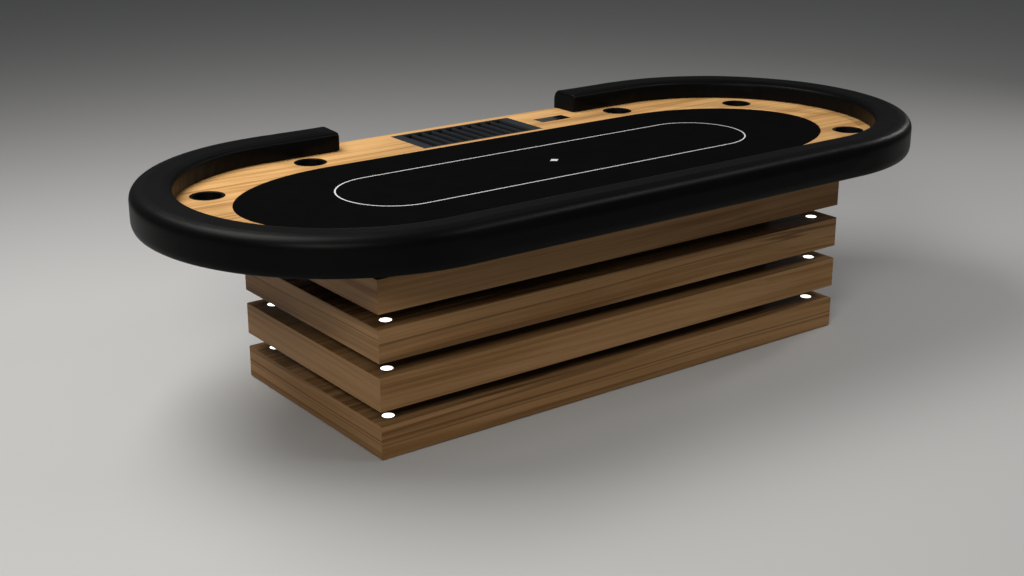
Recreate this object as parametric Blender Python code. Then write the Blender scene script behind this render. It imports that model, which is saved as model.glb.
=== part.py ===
"""Poker table with a C-shaped padded arm rail, a wood racetrack, a cloth playfield and a base of lit tiers.

Metres, +Z up. The origin is on the floor under the middle of the table, +X runs along the table's length and
+Y points to the dealer's side, where the arm rail is open.
"""
import math

import bmesh
import bpy

GAP = 0.0003                     # clearance between neighbouring pieces
OVERSHOOT = 0.01                 # how far a cutter runs past the face that it cuts
ARC_STEPS = 24                   # facets in each half circle of the table's outline
CUP_STEPS = 20                   # facets in the cup holders
HOLE_STEPS = 16                  # facets in pucks, feet and their holes
BORE_STEPS = 8                   # facets in the holes for rods and wiring

# Table top
HALF_STRAIGHT = 0.800            # from the middle to the centre of each end's half circle
RAIL_OUTER = 0.666               # outline radii about those centres
TOP_RADIUS = 0.652               # racetrack panel and deck
RAIL_INNER = 0.535
PLAYFIELD_HALF_STRAIGHT = 0.656
PLAYFIELD_HALF_WIDTH = 0.378
PLAYFIELD_END_STRETCH = 1.355    # the ends are half ellipses this much longer than half circles
RAIL_TOP = 0.760
PLAY_SURFACE = 0.688
PANEL_THICKNESS = 0.025
DECK_THICKNESS = 0.018
PANEL_BOTTOM = PLAY_SURFACE - PANEL_THICKNESS
DECK_TOP = PANEL_BOTTOM - GAP
TOP_UNDERSIDE = DECK_TOP - DECK_THICKNESS
DEALER_HALF_GAP = 0.519          # half of the opening in the rail

# Arm rail section
LEATHER = 0.002
RAIL_SEAT = PLAY_SURFACE + GAP
RAIL_OUTER_ROUND = 0.034
RAIL_UNDER_ROUND = (0.0125, 0.024)     # width and height of the round at the lower outer edge
RAIL_INNER_ROUND = 0.012
RAIL_CROWN_DROP = 0.004          # the top is this much lower at the inner edge
CROWN_ANGLE = 96                 # where both rounds meet the sloping top, in degrees
OUTER_ROUND_STEPS = 5
INNER_ROUND_STEPS = 3
UNDER_ROUND_STEPS = 4
RAIL_BOTTOM = TOP_UNDERSIDE - 0.003
RAIL_LIP = 0.015                 # leather turned under at each side
RAIL_CORE_HEIGHT = 0.018

# Playfield
CLOTH_TOP_THICKNESS = 0.0035     # cloth with its thin foam backing
CLOTH_EDGE_THICKNESS = 0.0012

# Cup holders
CUP_SIDE_X = (0.235, 0.677)
CUP_SIDE_Y = 0.4665
CUP_END = (1.1435, 0.288)
CUP_FLANGE = 0.0555
CUP_FLANGE_THICKNESS = 0.002
CUP_BODY = 0.0480
CUP_BASE = 0.0455
CUP_WALL = 0.002
CUP_DEPTH = 0.066

# Chip tray
TRAY_HALF_LENGTH = 0.261
TRAY_NEAR_Y = 0.398
TRAY_FAR_Y = 0.622
TRAY_FLANGE_THICKNESS = 0.003
TRAY_FLANGE_WIDTH = 0.008
TRAY_WALL = 0.003
TRAY_RIM_DROP = 0.001            # the end walls reach this far below the grooves
GROOVE_COUNT = 10
GROOVE_PITCH = 0.044
GROOVE_RADIUS = 0.0205
GROOVE_LIFT = 0.0005             # the grooves' centres lie this far above the tray's top
GROOVE_STEPS = 12
TRAY_TROUGH_HALF = GROOVE_COUNT / 2 * GROOVE_PITCH + TRAY_WALL

# Drop slot and drop box
SLOT_X = 0.389
SLOT_Y = 0.507
SLOT_PLATE = (0.136, 0.060, 0.003)
SLOT_OPENING = (0.090, 0.005)
CHUTE_OUTER = (0.116, 0.031)
SHEET = 0.0015
BOX_HALF_WIDTH = 0.074
BOX_BACK_Y = 0.4305
BOX_FRONT_Y = 0.5865
BOX_BOTTOM = 0.445
BOX_FLANGE_THICKNESS = 0.002
BOX_FLANGE_HALF = 0.0885
BOX_FLANGE_SETBACK = 0.004       # the flanges stop short of the box's back and front
BOX_DROP = 0.014                 # the box's top below the deck
BOX_TOP = TOP_UNDERSIDE - BOX_DROP
BOX_FLANGE_BOTTOM = BOX_TOP - BOX_FLANGE_THICKNESS
BOX_DOORWAY_HALF = 0.060
BOX_DOORWAY = (0.460, 0.616)
BOX_TOP_SLOT = (0.100, 0.020)
HANGER_HALF_WIDTH = 0.092
HANGER_PLATE = 0.003
HANGER_LIP = 0.015
HANGER_LIP_THICKNESS = 0.002
HANGER_OVERHANG = (0.003, 0.006)  # past the box's back and front
DOOR_THICKNESS = 0.002
DOOR_BOTTOM = 0.447
DOOR_TOP = 0.625
HINGE_OFFSET = 0.0035            # the axis outside the box's side
HINGE_X = SLOT_X - BOX_HALF_WIDTH - HINGE_OFFSET
HINGE_Y = BOX_FRONT_Y
HINGE_RADIUS = 0.003
HINGE_PIN = 0.0014
HINGE_BORE = 0.0019
HINGE_STEPS = 12
DOOR_KNUCKLE = (0.490, 0.594)    # the height range of the door's long knuckle
BOX_KNUCKLE_LENGTH = 0.025
HINGE_PIN_REACH = 0.003          # the pin's grip in each of the box's knuckles
HINGE_TAB = (0.0025, 0.0005)     # its back and front faces behind the hinge's axis
HINGE_RELIEF = 0.001
LOCK_X = SLOT_X + 0.045
LOCK_Z = 0.545
LOCK_BARREL = 0.007
LOCK_HEAD = 0.010
LOCK_HEAD_THICKNESS = 0.0025
LOCK_HEAD_CHAMFER = 0.001
LOCK_BACK = -0.0065              # the barrel's inner end, from the box's front
LOCK_KEYWAY = (0.004, 0.0006)    # half length and half width
LOCK_CAM = (0.0215, 0.010, 0.002)
LOCK_CAM_OVERLAP = 0.0005

# Base
BASE_HALF_LENGTH = 0.968
BASE_HALF_WIDTH = 0.4165
TIER_COUNT = 4
TIER_HEIGHT = 0.1065
TIER_PITCH = 0.1526
BASE_CLEARANCE = 0.003           # the bottom tier stands this far off the floor, on its feet
TIER_WALL = 0.018
TIER_FLOOR = 0.015
BOTTOM_FLOOR_Z = 0.020
SPACER_HALF = (0.800, 0.250)
RISER_HALF = (0.750, 0.230)
RING_WALL = 0.018

# Light pucks and their wiring
PUCK_RADIUS = 0.020
PUCK_THICKNESS = 0.006
PUCK_CHAMFER = 0.001
PUCK_INSET = 0.064               # from the tier's outer faces
PUCK_X = BASE_HALF_LENGTH - PUCK_INSET
PUCK_Y = BASE_HALF_WIDTH - PUCK_INSET
WIRE_HOLE = 0.004
TRUNK_HOLE = 0.008
TRUNK_HALF = 0.0035
X_WIRE_HALF = 0.003
Y_WIRE_HALF = 0.0025
RISE_WIRE_HALF = 0.002
WIRE_DROP = 0.006                # centre of the wiring below the panel that it serves
DRIVER_SIZE = (0.180, 0.060, 0.033)
DRIVER_END_X = -0.180
DRIVER_LEAD_Z = 0.052

# Tie rods and feet
ROD_X = 0.600
ROD_Y = 0.180
ROD_RADIUS = 0.006
ROD_HOLE = 0.0066
ROD_STEPS = 8
ROD_TOP = PANEL_BOTTOM - 0.001
NUT_RADIUS = 0.011
NUT_BOTTOM = 0.009
NUT_STEPS = 6
ROD_BOTTOM = NUT_BOTTOM + 0.001
FOOT_X = 0.850
FOOT_Y = 0.330
FOOT_PAD = 0.025
FOOT_PAD_EDGE = 0.004
FOOT_COLLAR = (0.010, 0.008)     # radius and height of the cone's upper edge
FOOT_STEM = 0.005
FOOT_STEM_BOTTOM = 0.010
FOOT_HOLE = 0.0058
FOOT_TOP = 0.060

# Power inlet with its switch, in the dealer's side of the bottom tier
INLET_X = -0.270
INLET_Z = 0.062
INLET_FLANGE_HALF = (0.030, 0.0155)
INLET_FLANGE_THICKNESS = 0.003
INLET_BODY_HALF = (0.027, 0.0125)
INLET_DEPTH = 0.034              # body behind the tier's face
SOCKET_X = (-0.0245, 0.0015)     # the socket's side walls, from the middle of the inlet
SOCKET_HALF_HEIGHT = 0.0085
SOCKET_DEPTH = 0.019
BLADE_X = INLET_X - 0.0115
BLADE_PLACES = ((-0.007, -0.002), (0.0, 0.0025), (0.007, -0.002))
BLADE_HALF = (0.001, 0.002)
BLADE_SPAN = (0.021, 0.005)      # back end and tip behind the tier's face
ROCKER_X = INLET_X + 0.015
ROCKER_Y = BASE_HALF_WIDTH - 0.006
ROCKER_HALF_WIDTH = 0.0085
ROCKER_TIP = 0.0085              # half of its height, and how far the V's ends stand from the pivot
ROCKER_VALLEY = 0.0065
ROCKER_BACK = (0.005, -0.005)
ROCKER_WELL_MARGIN = (0.0005, 0.002)
ROCKER_WELL_DEPTH = 0.017
ROCKER_TILT = math.radians(8)    # it rests pressed in at its lower end

MATERIALS = {
    "racetrack_wood": ((0.45, 0.25, 0.12), 0.35, 0.0),
    "walnut": ((0.10, 0.045, 0.020), 0.40, 0.0),
    "plywood": ((0.42, 0.30, 0.18), 0.70, 0.0),
    "black_paint": ((0.010, 0.010, 0.010), 0.60, 0.0),
    "leather": ((0.008, 0.008, 0.009), 0.35, 0.0),
    "foam": ((0.55, 0.52, 0.42), 0.95, 0.0),
    "cloth": ((0.006, 0.006, 0.007), 0.95, 0.0),
    "black_plastic": ((0.015, 0.015, 0.017), 0.45, 0.0),
    "chrome": ((0.75, 0.76, 0.78), 0.08, 1.0),
    "steel": ((0.45, 0.45, 0.46), 0.35, 1.0),
    "light_lens": ((1.0, 0.98, 0.92), 0.30, 0.0),
    "rubber": ((0.020, 0.020, 0.020), 0.80, 0.0),
    "cable": ((0.60, 0.60, 0.58), 0.50, 0.0),
}


def clear_scene():
    for old in list(bpy.data.objects):
        bpy.data.objects.remove(old, do_unlink=True)


def material(kind):
    found = bpy.data.materials.get(kind)
    if found:
        return found
    colour, roughness, metallic = MATERIALS[kind]
    made = bpy.data.materials.new(kind)
    made.use_nodes = True
    shader = made.node_tree.nodes["Principled BSDF"]
    shader.inputs["Base Color"].default_value = (*colour, 1.0)
    shader.inputs["Roughness"].default_value = roughness
    shader.inputs["Metallic"].default_value = metallic
    return made


def make_object(name, bm, kind=None, location=(0, 0, 0), smooth_angle=None):
    """Turn a bmesh into an object; without a material kind it is a hidden cutter or addition."""
    bmesh.ops.recalc_face_normals(bm, faces=bm.faces)
    mesh = bpy.data.meshes.new(name)
    bm.to_mesh(mesh)
    bm.free()
    made = bpy.data.objects.new(name, mesh)
    made.location = location
    bpy.context.scene.collection.objects.link(made)
    if kind:
        mesh.materials.append(material(kind))
    else:
        made.hide_render = True
        made.display_type = "WIRE"
    if smooth_angle is not None:
        mesh.shade_smooth()
        mesh.set_sharp_from_angle(angle=math.radians(smooth_angle))
    return made


def boolean(target, tool, operation):
    step = target.modifiers.new(tool.name, "BOOLEAN")
    step.operation = operation
    step.solver = "EXACT"
    step.object = tool
    return step


def cut(target, bm):
    """Cut the closed shapes of a bmesh, given in the target's own frame, out of the target."""
    tool = make_object(target.name + "_cutter", bm, location=target.location)
    return boolean(target, tool, "DIFFERENCE")


def unite(target, bm):
    tool = make_object(target.name + "_addition", bm, location=target.location)
    return boolean(target, tool, "UNION")


def add_prism(bm, outline, low, high):
    """Extrude a flat outline of (x, y) points from z = low to z = high."""
    corners = [bm.verts.new((x, y, low)) for x, y in outline]
    base = bm.faces.new(corners)
    grown = bmesh.ops.extrude_face_region(bm, geom=[base])
    raised = [item for item in grown["geom"] if isinstance(item, bmesh.types.BMVert)]
    bmesh.ops.translate(bm, verts=raised, vec=(0, 0, high - low))
    return bm


def add_box(bm, low, high):
    (x0, y0, z0), (x1, y1, z1) = low, high
    return add_prism(bm, [(x0, y0), (x1, y0), (x1, y1), (x0, y1)], z0, z1)


def box(low, high):
    return add_box(bmesh.new(), low, high)


def add_turned(bm, profile, steps=HOLE_STEPS, centre=(0, 0, 0)):
    """Spin a profile of (radius, z) points about the vertical line through the centre."""
    cx, cy, cz = centre
    points = [bm.verts.new((cx + radius, cy, cz + z)) for radius, z in profile]
    ends = zip(points, points[1:] + points[:1])
    closes_on_axis = profile[0][0] == 0 and profile[-1][0] == 0
    edges = [bm.edges.new(pair) for pair in ends if not (closes_on_axis and pair[0] is points[-1])]
    bmesh.ops.spin(bm, geom=points + edges, cent=centre, axis=(0, 0, 1), angle=2 * math.pi,
                   steps=steps, use_merge=True)
    bmesh.ops.remove_doubles(bm, verts=bm.verts, dist=1e-6)
    return bm


def turned(profile, steps=HOLE_STEPS, centre=(0, 0, 0)):
    return add_turned(bmesh.new(), profile, steps, centre)


def add_cylinder(bm, radius, low, high, centre=(0, 0), steps=HOLE_STEPS):
    profile = [(0, low), (radius, low), (radius, high), (0, high)]
    return add_turned(bm, profile, steps, (centre[0], centre[1], 0))


def stadium(radius, half_straight=HALF_STRAIGHT, stretch=1):
    """Racetrack outline: two half circles of the radius, stretched lengthwise, joined by straight sides."""
    points = []
    for side in (1, -1):
        for step in range(ARC_STEPS + 1):
            angle = side * math.pi / 2 - math.pi * step / ARC_STEPS
            x = side * half_straight + stretch * radius * math.cos(angle)
            points.append((x, radius * math.sin(angle)))
    return points


def playfield_outline(inset=0):
    """Outline of the opening for the playfield, or of a piece that lies this far inside it."""
    return stadium(PLAYFIELD_HALF_WIDTH - inset, PLAYFIELD_HALF_STRAIGHT, PLAYFIELD_END_STRETCH)


def arc(centre, radius, start, end, steps):
    """Points on a circular arc, angles in degrees."""
    points = []
    for step in range(steps + 1):
        angle = math.radians(start + (end - start) * step / steps)
        points.append((centre[0] + radius * math.cos(angle), centre[1] + radius * math.sin(angle)))
    return points


def rail_crown(inset, bottom):
    """Upper outline of the arm rail as (radius, z), from the inner bottom over to the outer bottom."""
    inner = RAIL_INNER + inset
    outer = RAIL_OUTER - inset
    inner_round = RAIL_INNER_ROUND - inset
    outer_round = RAIL_OUTER_ROUND - inset
    inner_top = RAIL_TOP - RAIL_CROWN_DROP - inset
    top = RAIL_TOP - inset
    inner_arc = arc((inner + inner_round, inner_top - inner_round), inner_round, 180, CROWN_ANGLE,
                    INNER_ROUND_STEPS)
    outer_arc = arc((outer - outer_round, top - outer_round), outer_round, CROWN_ANGLE, 0, OUTER_ROUND_STEPS)
    return [(inner, bottom)] + inner_arc + outer_arc + [(outer, bottom)]


def rail_sweep(section, end_inset):
    """Carry a closed (radius, z) section round the table, from one side of the dealer's gap to the other."""
    end_x = DEALER_HALF_GAP + end_inset
    stations = [(end_x, 0.0, 1.0)]
    for side in (1, -1):
        for step in range(ARC_STEPS + 1):
            angle = side * math.pi / 2 - math.pi * step / ARC_STEPS
            stations.append((side * HALF_STRAIGHT, math.cos(angle), math.sin(angle)))
    stations.append((-end_x, 0.0, 1.0))
    bm = bmesh.new()
    rings = []
    for centre_x, out_x, out_y in stations:
        ring = [bm.verts.new((centre_x + radius * out_x, radius * out_y, z)) for radius, z in section]
        rings.append(ring)
    for ring, following in zip(rings, rings[1:]):
        for index in range(len(section)):
            after = (index + 1) % len(section)
            bm.faces.new((ring[index], ring[after], following[after], following[index]))
    bm.faces.new(rings[0])
    bm.faces.new(rings[-1])
    return bm


def cup_places():
    """Centres of the ten cup holders; the dealer's side has no inner pair."""
    places = [(side * x, row * CUP_SIDE_Y) for row in (1, -1) for side in (-1, 1) for x in CUP_SIDE_X
              if row < 0 or x != CUP_SIDE_X[0]]
    return places + corners(*CUP_END)


def corners(x, y):
    return [(side * x, row * y) for row in (1, -1) for side in (-1, 1)]


def tier_bottom(number):
    """Height of a tier's lower edge; tier 1 is the top one."""
    return BASE_CLEARANCE + (TIER_COUNT - number) * TIER_PITCH


def tier_top(number):
    return tier_bottom(number) + TIER_HEIGHT


def make_deck():
    deck = make_object("table_deck", add_prism(bmesh.new(), stadium(TOP_RADIUS), TOP_UNDERSIDE, DECK_TOP),
                       "black_paint")
    holes = bmesh.new()
    low = TOP_UNDERSIDE - OVERSHOOT
    high = PANEL_BOTTOM + OVERSHOOT
    for place in cup_places():
        add_cylinder(holes, CUP_BODY + GAP * 2, low, high, place, CUP_STEPS)
    for place in corners(ROD_X, ROD_Y):
        add_cylinder(holes, ROD_HOLE, low, high, place, BORE_STEPS)
    add_chute_hole(holes, low, high)
    cut(deck, holes)


def add_tray_well(bm, low, high):
    half = TRAY_TROUGH_HALF + GAP * 2
    near = TRAY_NEAR_Y + TRAY_FLANGE_WIDTH - GAP * 2
    far = TRAY_FAR_Y - TRAY_FLANGE_WIDTH + GAP * 2
    add_box(bm, (-half, near, low), (half, far, high))


def add_chute_hole(bm, low, high):
    half_x = CHUTE_OUTER[0] / 2 + GAP
    half_y = CHUTE_OUTER[1] / 2 + GAP
    add_box(bm, (SLOT_X - half_x, SLOT_Y - half_y, low), (SLOT_X + half_x, SLOT_Y + half_y, high))


def make_racetrack():
    panel = make_object("racetrack_panel", add_prism(bmesh.new(), stadium(TOP_RADIUS), PANEL_BOTTOM,
                                                     PLAY_SURFACE), "racetrack_wood")
    low = PANEL_BOTTOM - OVERSHOOT
    high = PLAY_SURFACE + OVERSHOOT
    cut(panel, add_prism(bmesh.new(), playfield_outline(), low, high))
    rebate = PLAY_SURFACE - CUP_FLANGE_THICKNESS - GAP
    cup_holes = bmesh.new()
    body = CUP_BODY + GAP * 2
    flange = CUP_FLANGE + GAP * 2
    for place in cup_places():
        profile = [(0, low), (body, low), (body, rebate), (flange, rebate), (flange, high), (0, high)]
        add_turned(cup_holes, profile, CUP_STEPS, (place[0], place[1], 0))
    cut(panel, cup_holes)
    wells = bmesh.new()
    add_tray_well(wells, low, high)
    add_chute_hole(wells, low, high)
    cut(panel, wells)
    rebates = bmesh.new()
    tray_rebate = PLAY_SURFACE - TRAY_FLANGE_THICKNESS - GAP
    add_box(rebates, (-TRAY_HALF_LENGTH - GAP, TRAY_NEAR_Y - GAP, tray_rebate),
            (TRAY_HALF_LENGTH + GAP, TRAY_FAR_Y + GAP, high))
    half_x = SLOT_PLATE[0] / 2 + GAP
    half_y = SLOT_PLATE[1] / 2 + GAP
    plate_rebate = PLAY_SURFACE - SLOT_PLATE[2] - GAP
    add_box(rebates, (SLOT_X - half_x, SLOT_Y - half_y, plate_rebate),
            (SLOT_X + half_x, SLOT_Y + half_y, high))
    cut(panel, rebates)


def make_playfield():
    board_inset = GAP + CLOTH_EDGE_THICKNESS + GAP
    board_top = PLAY_SURFACE - CLOTH_TOP_THICKNESS - GAP
    make_object("playfield_board", add_prism(bmesh.new(), playfield_outline(board_inset), PANEL_BOTTOM,
                                             board_top), "plywood")
    cloth = make_object("playfield_cloth", add_prism(bmesh.new(), playfield_outline(GAP),
                                                     PANEL_BOTTOM + GAP, PLAY_SURFACE), "cloth")
    cut(cloth, add_prism(bmesh.new(), playfield_outline(GAP + CLOTH_EDGE_THICKNESS),
                         PANEL_BOTTOM - OVERSHOOT, PLAY_SURFACE - CLOTH_TOP_THICKNESS))


def rail_underside():
    """Lower outline of the cover: round to its bottom edge, then back up behind the deck and the panel."""
    width, height = RAIL_UNDER_ROUND
    behind_top = TOP_RADIUS + 2 * GAP
    quarter = arc((0, 0), 1, 0, -90, UNDER_ROUND_STEPS)
    lower = [(RAIL_OUTER + (across - 1) * width, RAIL_BOTTOM + (up + 1) * height) for across, up in quarter]
    return lower + [(behind_top, RAIL_BOTTOM), (behind_top, RAIL_SEAT)]


def make_arm_rail():
    cover_section = rail_crown(0, RAIL_SEAT)[:-1] + rail_underside()
    cover = make_object("rail_cover", rail_sweep(cover_section, 0), "leather", smooth_angle=50)
    inner_mouth = RAIL_INNER + RAIL_LIP
    outer_mouth = RAIL_OUTER - RAIL_LIP
    floor = RAIL_SEAT + LEATHER
    below = RAIL_SEAT - OVERSHOOT
    mouth = [(outer_mouth, floor), (outer_mouth, below), (inner_mouth, below), (inner_mouth, floor)]
    cut(cover, rail_sweep(rail_crown(LEATHER, floor) + mouth, LEATHER))

    inset = LEATHER + GAP
    core_bottom = floor + GAP
    core_top = core_bottom + RAIL_CORE_HEIGHT
    core_section = [(RAIL_INNER + inset, core_bottom), (RAIL_INNER + inset, core_top),
                    (RAIL_OUTER - inset, core_top), (RAIL_OUTER - inset, core_bottom)]
    make_object("rail_core", rail_sweep(core_section, inset), "plywood")
    make_object("rail_foam", rail_sweep(rail_crown(inset, core_top + GAP), inset), "foam", smooth_angle=50)


def make_cups():
    top = PLAY_SURFACE
    bottom = PLAY_SURFACE - CUP_DEPTH
    under_flange = top - CUP_FLANGE_THICKNESS
    profile = [(0, bottom), (CUP_BASE, bottom), (CUP_BODY, under_flange), (CUP_FLANGE, under_flange),
               (CUP_FLANGE, top), (CUP_BODY - CUP_WALL, top), (CUP_BASE - CUP_WALL, bottom + CUP_WALL),
               (0, bottom + CUP_WALL)]
    local = [(radius, z - top) for radius, z in profile]
    for number, place in enumerate(cup_places(), start=1):
        make_object(f"cup_holder_{number:02d}", turned(local, CUP_STEPS), "black_plastic",
                    location=(place[0], place[1], top), smooth_angle=40)


def groove_centres():
    return [(index - (GROOVE_COUNT - 1) / 2) * GROOVE_PITCH for index in range(GROOVE_COUNT)]


def add_lengthwise_prism(bm, outline, near, far):
    """Extrude an (x, z) outline along Y."""
    base = bm.faces.new([bm.verts.new((x, near, z)) for x, z in outline])
    grown = bmesh.ops.extrude_face_region(bm, geom=[base])
    moved = [item for item in grown["geom"] if isinstance(item, bmesh.types.BMVert)]
    bmesh.ops.translate(bm, verts=moved, vec=(0, far - near, 0))
    return bm


def make_chip_tray():
    """Flanged tray of half-round grooves with an underside that follows them; local origin at its top."""
    middle_y = (TRAY_NEAR_Y + TRAY_FAR_Y) / 2
    half_depth = (TRAY_FAR_Y - TRAY_NEAR_Y) / 2
    trough_half_depth = half_depth - TRAY_FLANGE_WIDTH
    trough_bottom = -(GROOVE_RADIUS + TRAY_WALL + TRAY_RIM_DROP)
    tray = make_object("chip_tray", box((-TRAY_HALF_LENGTH, -half_depth, -TRAY_FLANGE_THICKNESS),
                                        (TRAY_HALF_LENGTH, half_depth, 0)),
                       "black_plastic", location=(0, middle_y, PLAY_SURFACE), smooth_angle=40)
    unite(tray, box((-TRAY_TROUGH_HALF, -trough_half_depth, trough_bottom),
                    (TRAY_TROUGH_HALF, trough_half_depth, -TRAY_FLANGE_THICKNESS / 2)))
    inner_half_depth = trough_half_depth - TRAY_WALL
    grooves = bmesh.new()
    for centre in groove_centres():
        outline = arc((centre, GROOVE_LIFT), GROOVE_RADIUS, 180, 360, GROOVE_STEPS)
        outline += [(centre + GROOVE_RADIUS, OVERSHOOT), (centre - GROOVE_RADIUS, OVERSHOOT)]
        add_lengthwise_prism(grooves, outline, -inner_half_depth, inner_half_depth)
    cut(tray, grooves)

    outer_radius = GROOVE_RADIUS + TRAY_WALL
    reach = math.degrees(math.acos(GROOVE_PITCH / 2 / outer_radius))
    relief = []
    for centre in groove_centres():
        relief += arc((centre, 0), outer_radius, 180 + reach, 360 - reach, GROOVE_STEPS // 2)[1:]
    first_x = groove_centres()[0]
    low = trough_bottom - OVERSHOOT
    start = (first_x, -outer_radius)
    inside = [point for point in relief if first_x < point[0] < -first_x]
    outline = [start] + inside + [(-first_x, -outer_radius), (-first_x, low), (first_x, low)]
    cut(tray, add_lengthwise_prism(bmesh.new(), outline, -inner_half_depth, inner_half_depth))


def make_drop_slot():
    plate_x, plate_y, plate_z = SLOT_PLATE
    plate = make_object("drop_slot_plate", box((-plate_x / 2, -plate_y / 2, -plate_z),
                                               (plate_x / 2, plate_y / 2, 0)),
                        "chrome", location=(SLOT_X, SLOT_Y, PLAY_SURFACE))
    half_x = SLOT_OPENING[0] / 2
    half_y = SLOT_OPENING[1] / 2
    cut(plate, box((-half_x, -half_y, -plate_z - OVERSHOOT), (half_x, half_y, OVERSHOOT)))

    outer_x = CHUTE_OUTER[0] / 2
    outer_y = CHUTE_OUTER[1] / 2
    chute_bottom = BOX_TOP + 2 * GAP
    chute_top = PLAY_SURFACE - plate_z - GAP
    chute = make_object("drop_chute", box((SLOT_X - outer_x, SLOT_Y - outer_y, chute_bottom),
                                          (SLOT_X + outer_x, SLOT_Y + outer_y, chute_top)), "black_plastic")
    inner_x = outer_x - SHEET
    inner_y = outer_y - SHEET
    cut(chute, box((SLOT_X - inner_x, SLOT_Y - inner_y, chute_bottom - OVERSHOOT),
                   (SLOT_X + inner_x, SLOT_Y + inner_y, chute_top + OVERSHOOT)))


def make_drop_box_hanger():
    """A plate under the deck with two L rails that the box's flanges ride in."""
    top = TOP_UNDERSIDE - GAP
    lip_top = BOX_FLANGE_BOTTOM - GAP
    low = lip_top - HANGER_LIP_THICKNESS
    near = BOX_BACK_Y - HANGER_OVERHANG[0]
    far = BOX_FRONT_Y + HANGER_OVERHANG[1]
    hanger = make_object("drop_box_hanger", box((SLOT_X - HANGER_HALF_WIDTH, near, low),
                                                (SLOT_X + HANGER_HALF_WIDTH, far, top)), "steel")
    channel = HANGER_HALF_WIDTH - HANGER_PLATE
    mouth = HANGER_HALF_WIDTH - HANGER_LIP
    under_plate = top - HANGER_PLATE
    cut(hanger, box((SLOT_X - channel, near - OVERSHOOT, lip_top),
                    (SLOT_X + channel, far + OVERSHOOT, under_plate)))
    cut(hanger, box((SLOT_X - mouth, near - OVERSHOOT, low - OVERSHOOT),
                    (SLOT_X + mouth, far + OVERSHOOT, lip_top + GAP)))
    hole = bmesh.new()
    add_chute_hole(hole, under_plate - OVERSHOOT, top + OVERSHOOT)
    cut(hanger, hole)


def make_drop_box():
    """Sheet-steel box that hangs by its top flanges, open at the front behind the door."""
    left = SLOT_X - BOX_HALF_WIDTH
    right = SLOT_X + BOX_HALF_WIDTH
    body = make_object("drop_box", box((left, BOX_BACK_Y, BOX_BOTTOM), (right, BOX_FRONT_Y, BOX_TOP)),
                       "black_paint")
    unite(body, box((SLOT_X - BOX_FLANGE_HALF, BOX_BACK_Y + BOX_FLANGE_SETBACK, BOX_FLANGE_BOTTOM),
                    (SLOT_X + BOX_FLANGE_HALF, BOX_FRONT_Y - BOX_FLANGE_SETBACK, BOX_TOP - GAP)))
    cut(body, box((left + SHEET, BOX_BACK_Y + SHEET, BOX_BOTTOM + SHEET),
                  (right - SHEET, BOX_FRONT_Y - SHEET, BOX_TOP - BOX_FLANGE_THICKNESS)))
    cut(body, box((SLOT_X - BOX_DOORWAY_HALF, BOX_FRONT_Y - OVERSHOOT, BOX_DOORWAY[0]),
                  (SLOT_X + BOX_DOORWAY_HALF, BOX_FRONT_Y + OVERSHOOT, BOX_DOORWAY[1])))
    slot_x, slot_y = BOX_TOP_SLOT
    cut(body, box((SLOT_X - slot_x / 2, SLOT_Y - slot_y / 2, BOX_TOP - OVERSHOOT),
                  (SLOT_X + slot_x / 2, SLOT_Y + slot_y / 2, BOX_TOP + OVERSHOOT)))
    knuckles = bmesh.new()
    low = DOOR_KNUCKLE[0] - GAP * 2
    high = DOOR_KNUCKLE[1] + GAP * 2
    spans = ((low - BOX_KNUCKLE_LENGTH, low), (high, high + BOX_KNUCKLE_LENGTH))
    for start, end in spans:
        add_cylinder(knuckles, HINGE_RADIUS, start, end, (HINGE_X, HINGE_Y), HINGE_STEPS)
    unite(body, knuckles)
    tabs = bmesh.new()
    back, front = HINGE_TAB
    for start, end in spans:
        add_box(tabs, (HINGE_X, HINGE_Y - back, start + HINGE_RELIEF),
                (left + SHEET / 3, HINGE_Y - front, end - HINGE_RELIEF))
    unite(body, tabs)
    unite(body, add_cylinder(bmesh.new(), HINGE_PIN, low - HINGE_PIN_REACH, high + HINGE_PIN_REACH,
                             (HINGE_X, HINGE_Y), HINGE_STEPS))


def make_drop_box_door():
    """Door with one long knuckle on the box's hinge pin; local origin on the hinge axis."""
    middle = (DOOR_KNUCKLE[0] + DOOR_KNUCKLE[1]) / 2
    origin = (HINGE_X, HINGE_Y, middle)
    near = GAP
    far = GAP + DOOR_THICKNESS
    left = SLOT_X - BOX_HALF_WIDTH - HINGE_X
    right = SLOT_X + BOX_HALF_WIDTH - HINGE_X
    sheet = box((left, near, DOOR_BOTTOM - middle), (right, far, DOOR_TOP - middle))
    door = make_object("drop_box_door", sheet, "black_paint", location=origin)
    half = (DOOR_KNUCKLE[1] - DOOR_KNUCKLE[0]) / 2
    unite(door, box((HINGE_BORE, near + GAP, -half + HINGE_RELIEF),
                    (left + HINGE_RELIEF, far - GAP, half - HINGE_RELIEF)))
    unite(door, add_cylinder(bmesh.new(), HINGE_RADIUS, -half, half, (0, 0), HINGE_STEPS))
    cut(door, add_cylinder(bmesh.new(), HINGE_BORE, -half - OVERSHOOT, half + OVERSHOOT, (0, 0), HINGE_STEPS))
    lock_hole = turned([(0, -OVERSHOOT), (LOCK_BARREL + GAP * 2, -OVERSHOOT),
                        (LOCK_BARREL + GAP * 2, OVERSHOOT), (0, OVERSHOOT)])
    lay_along_y(lock_hole)
    bmesh.ops.translate(lock_hole, verts=lock_hole.verts, vec=(LOCK_X - HINGE_X, 0, LOCK_Z - middle))
    cut(door, lock_hole)


def lay_along_y(bm):
    """Turn a shape made along Z so that its +Z points to +Y."""
    for vert in bm.verts:
        x, y, z = vert.co
        vert.co = (x, z, -y)


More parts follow.
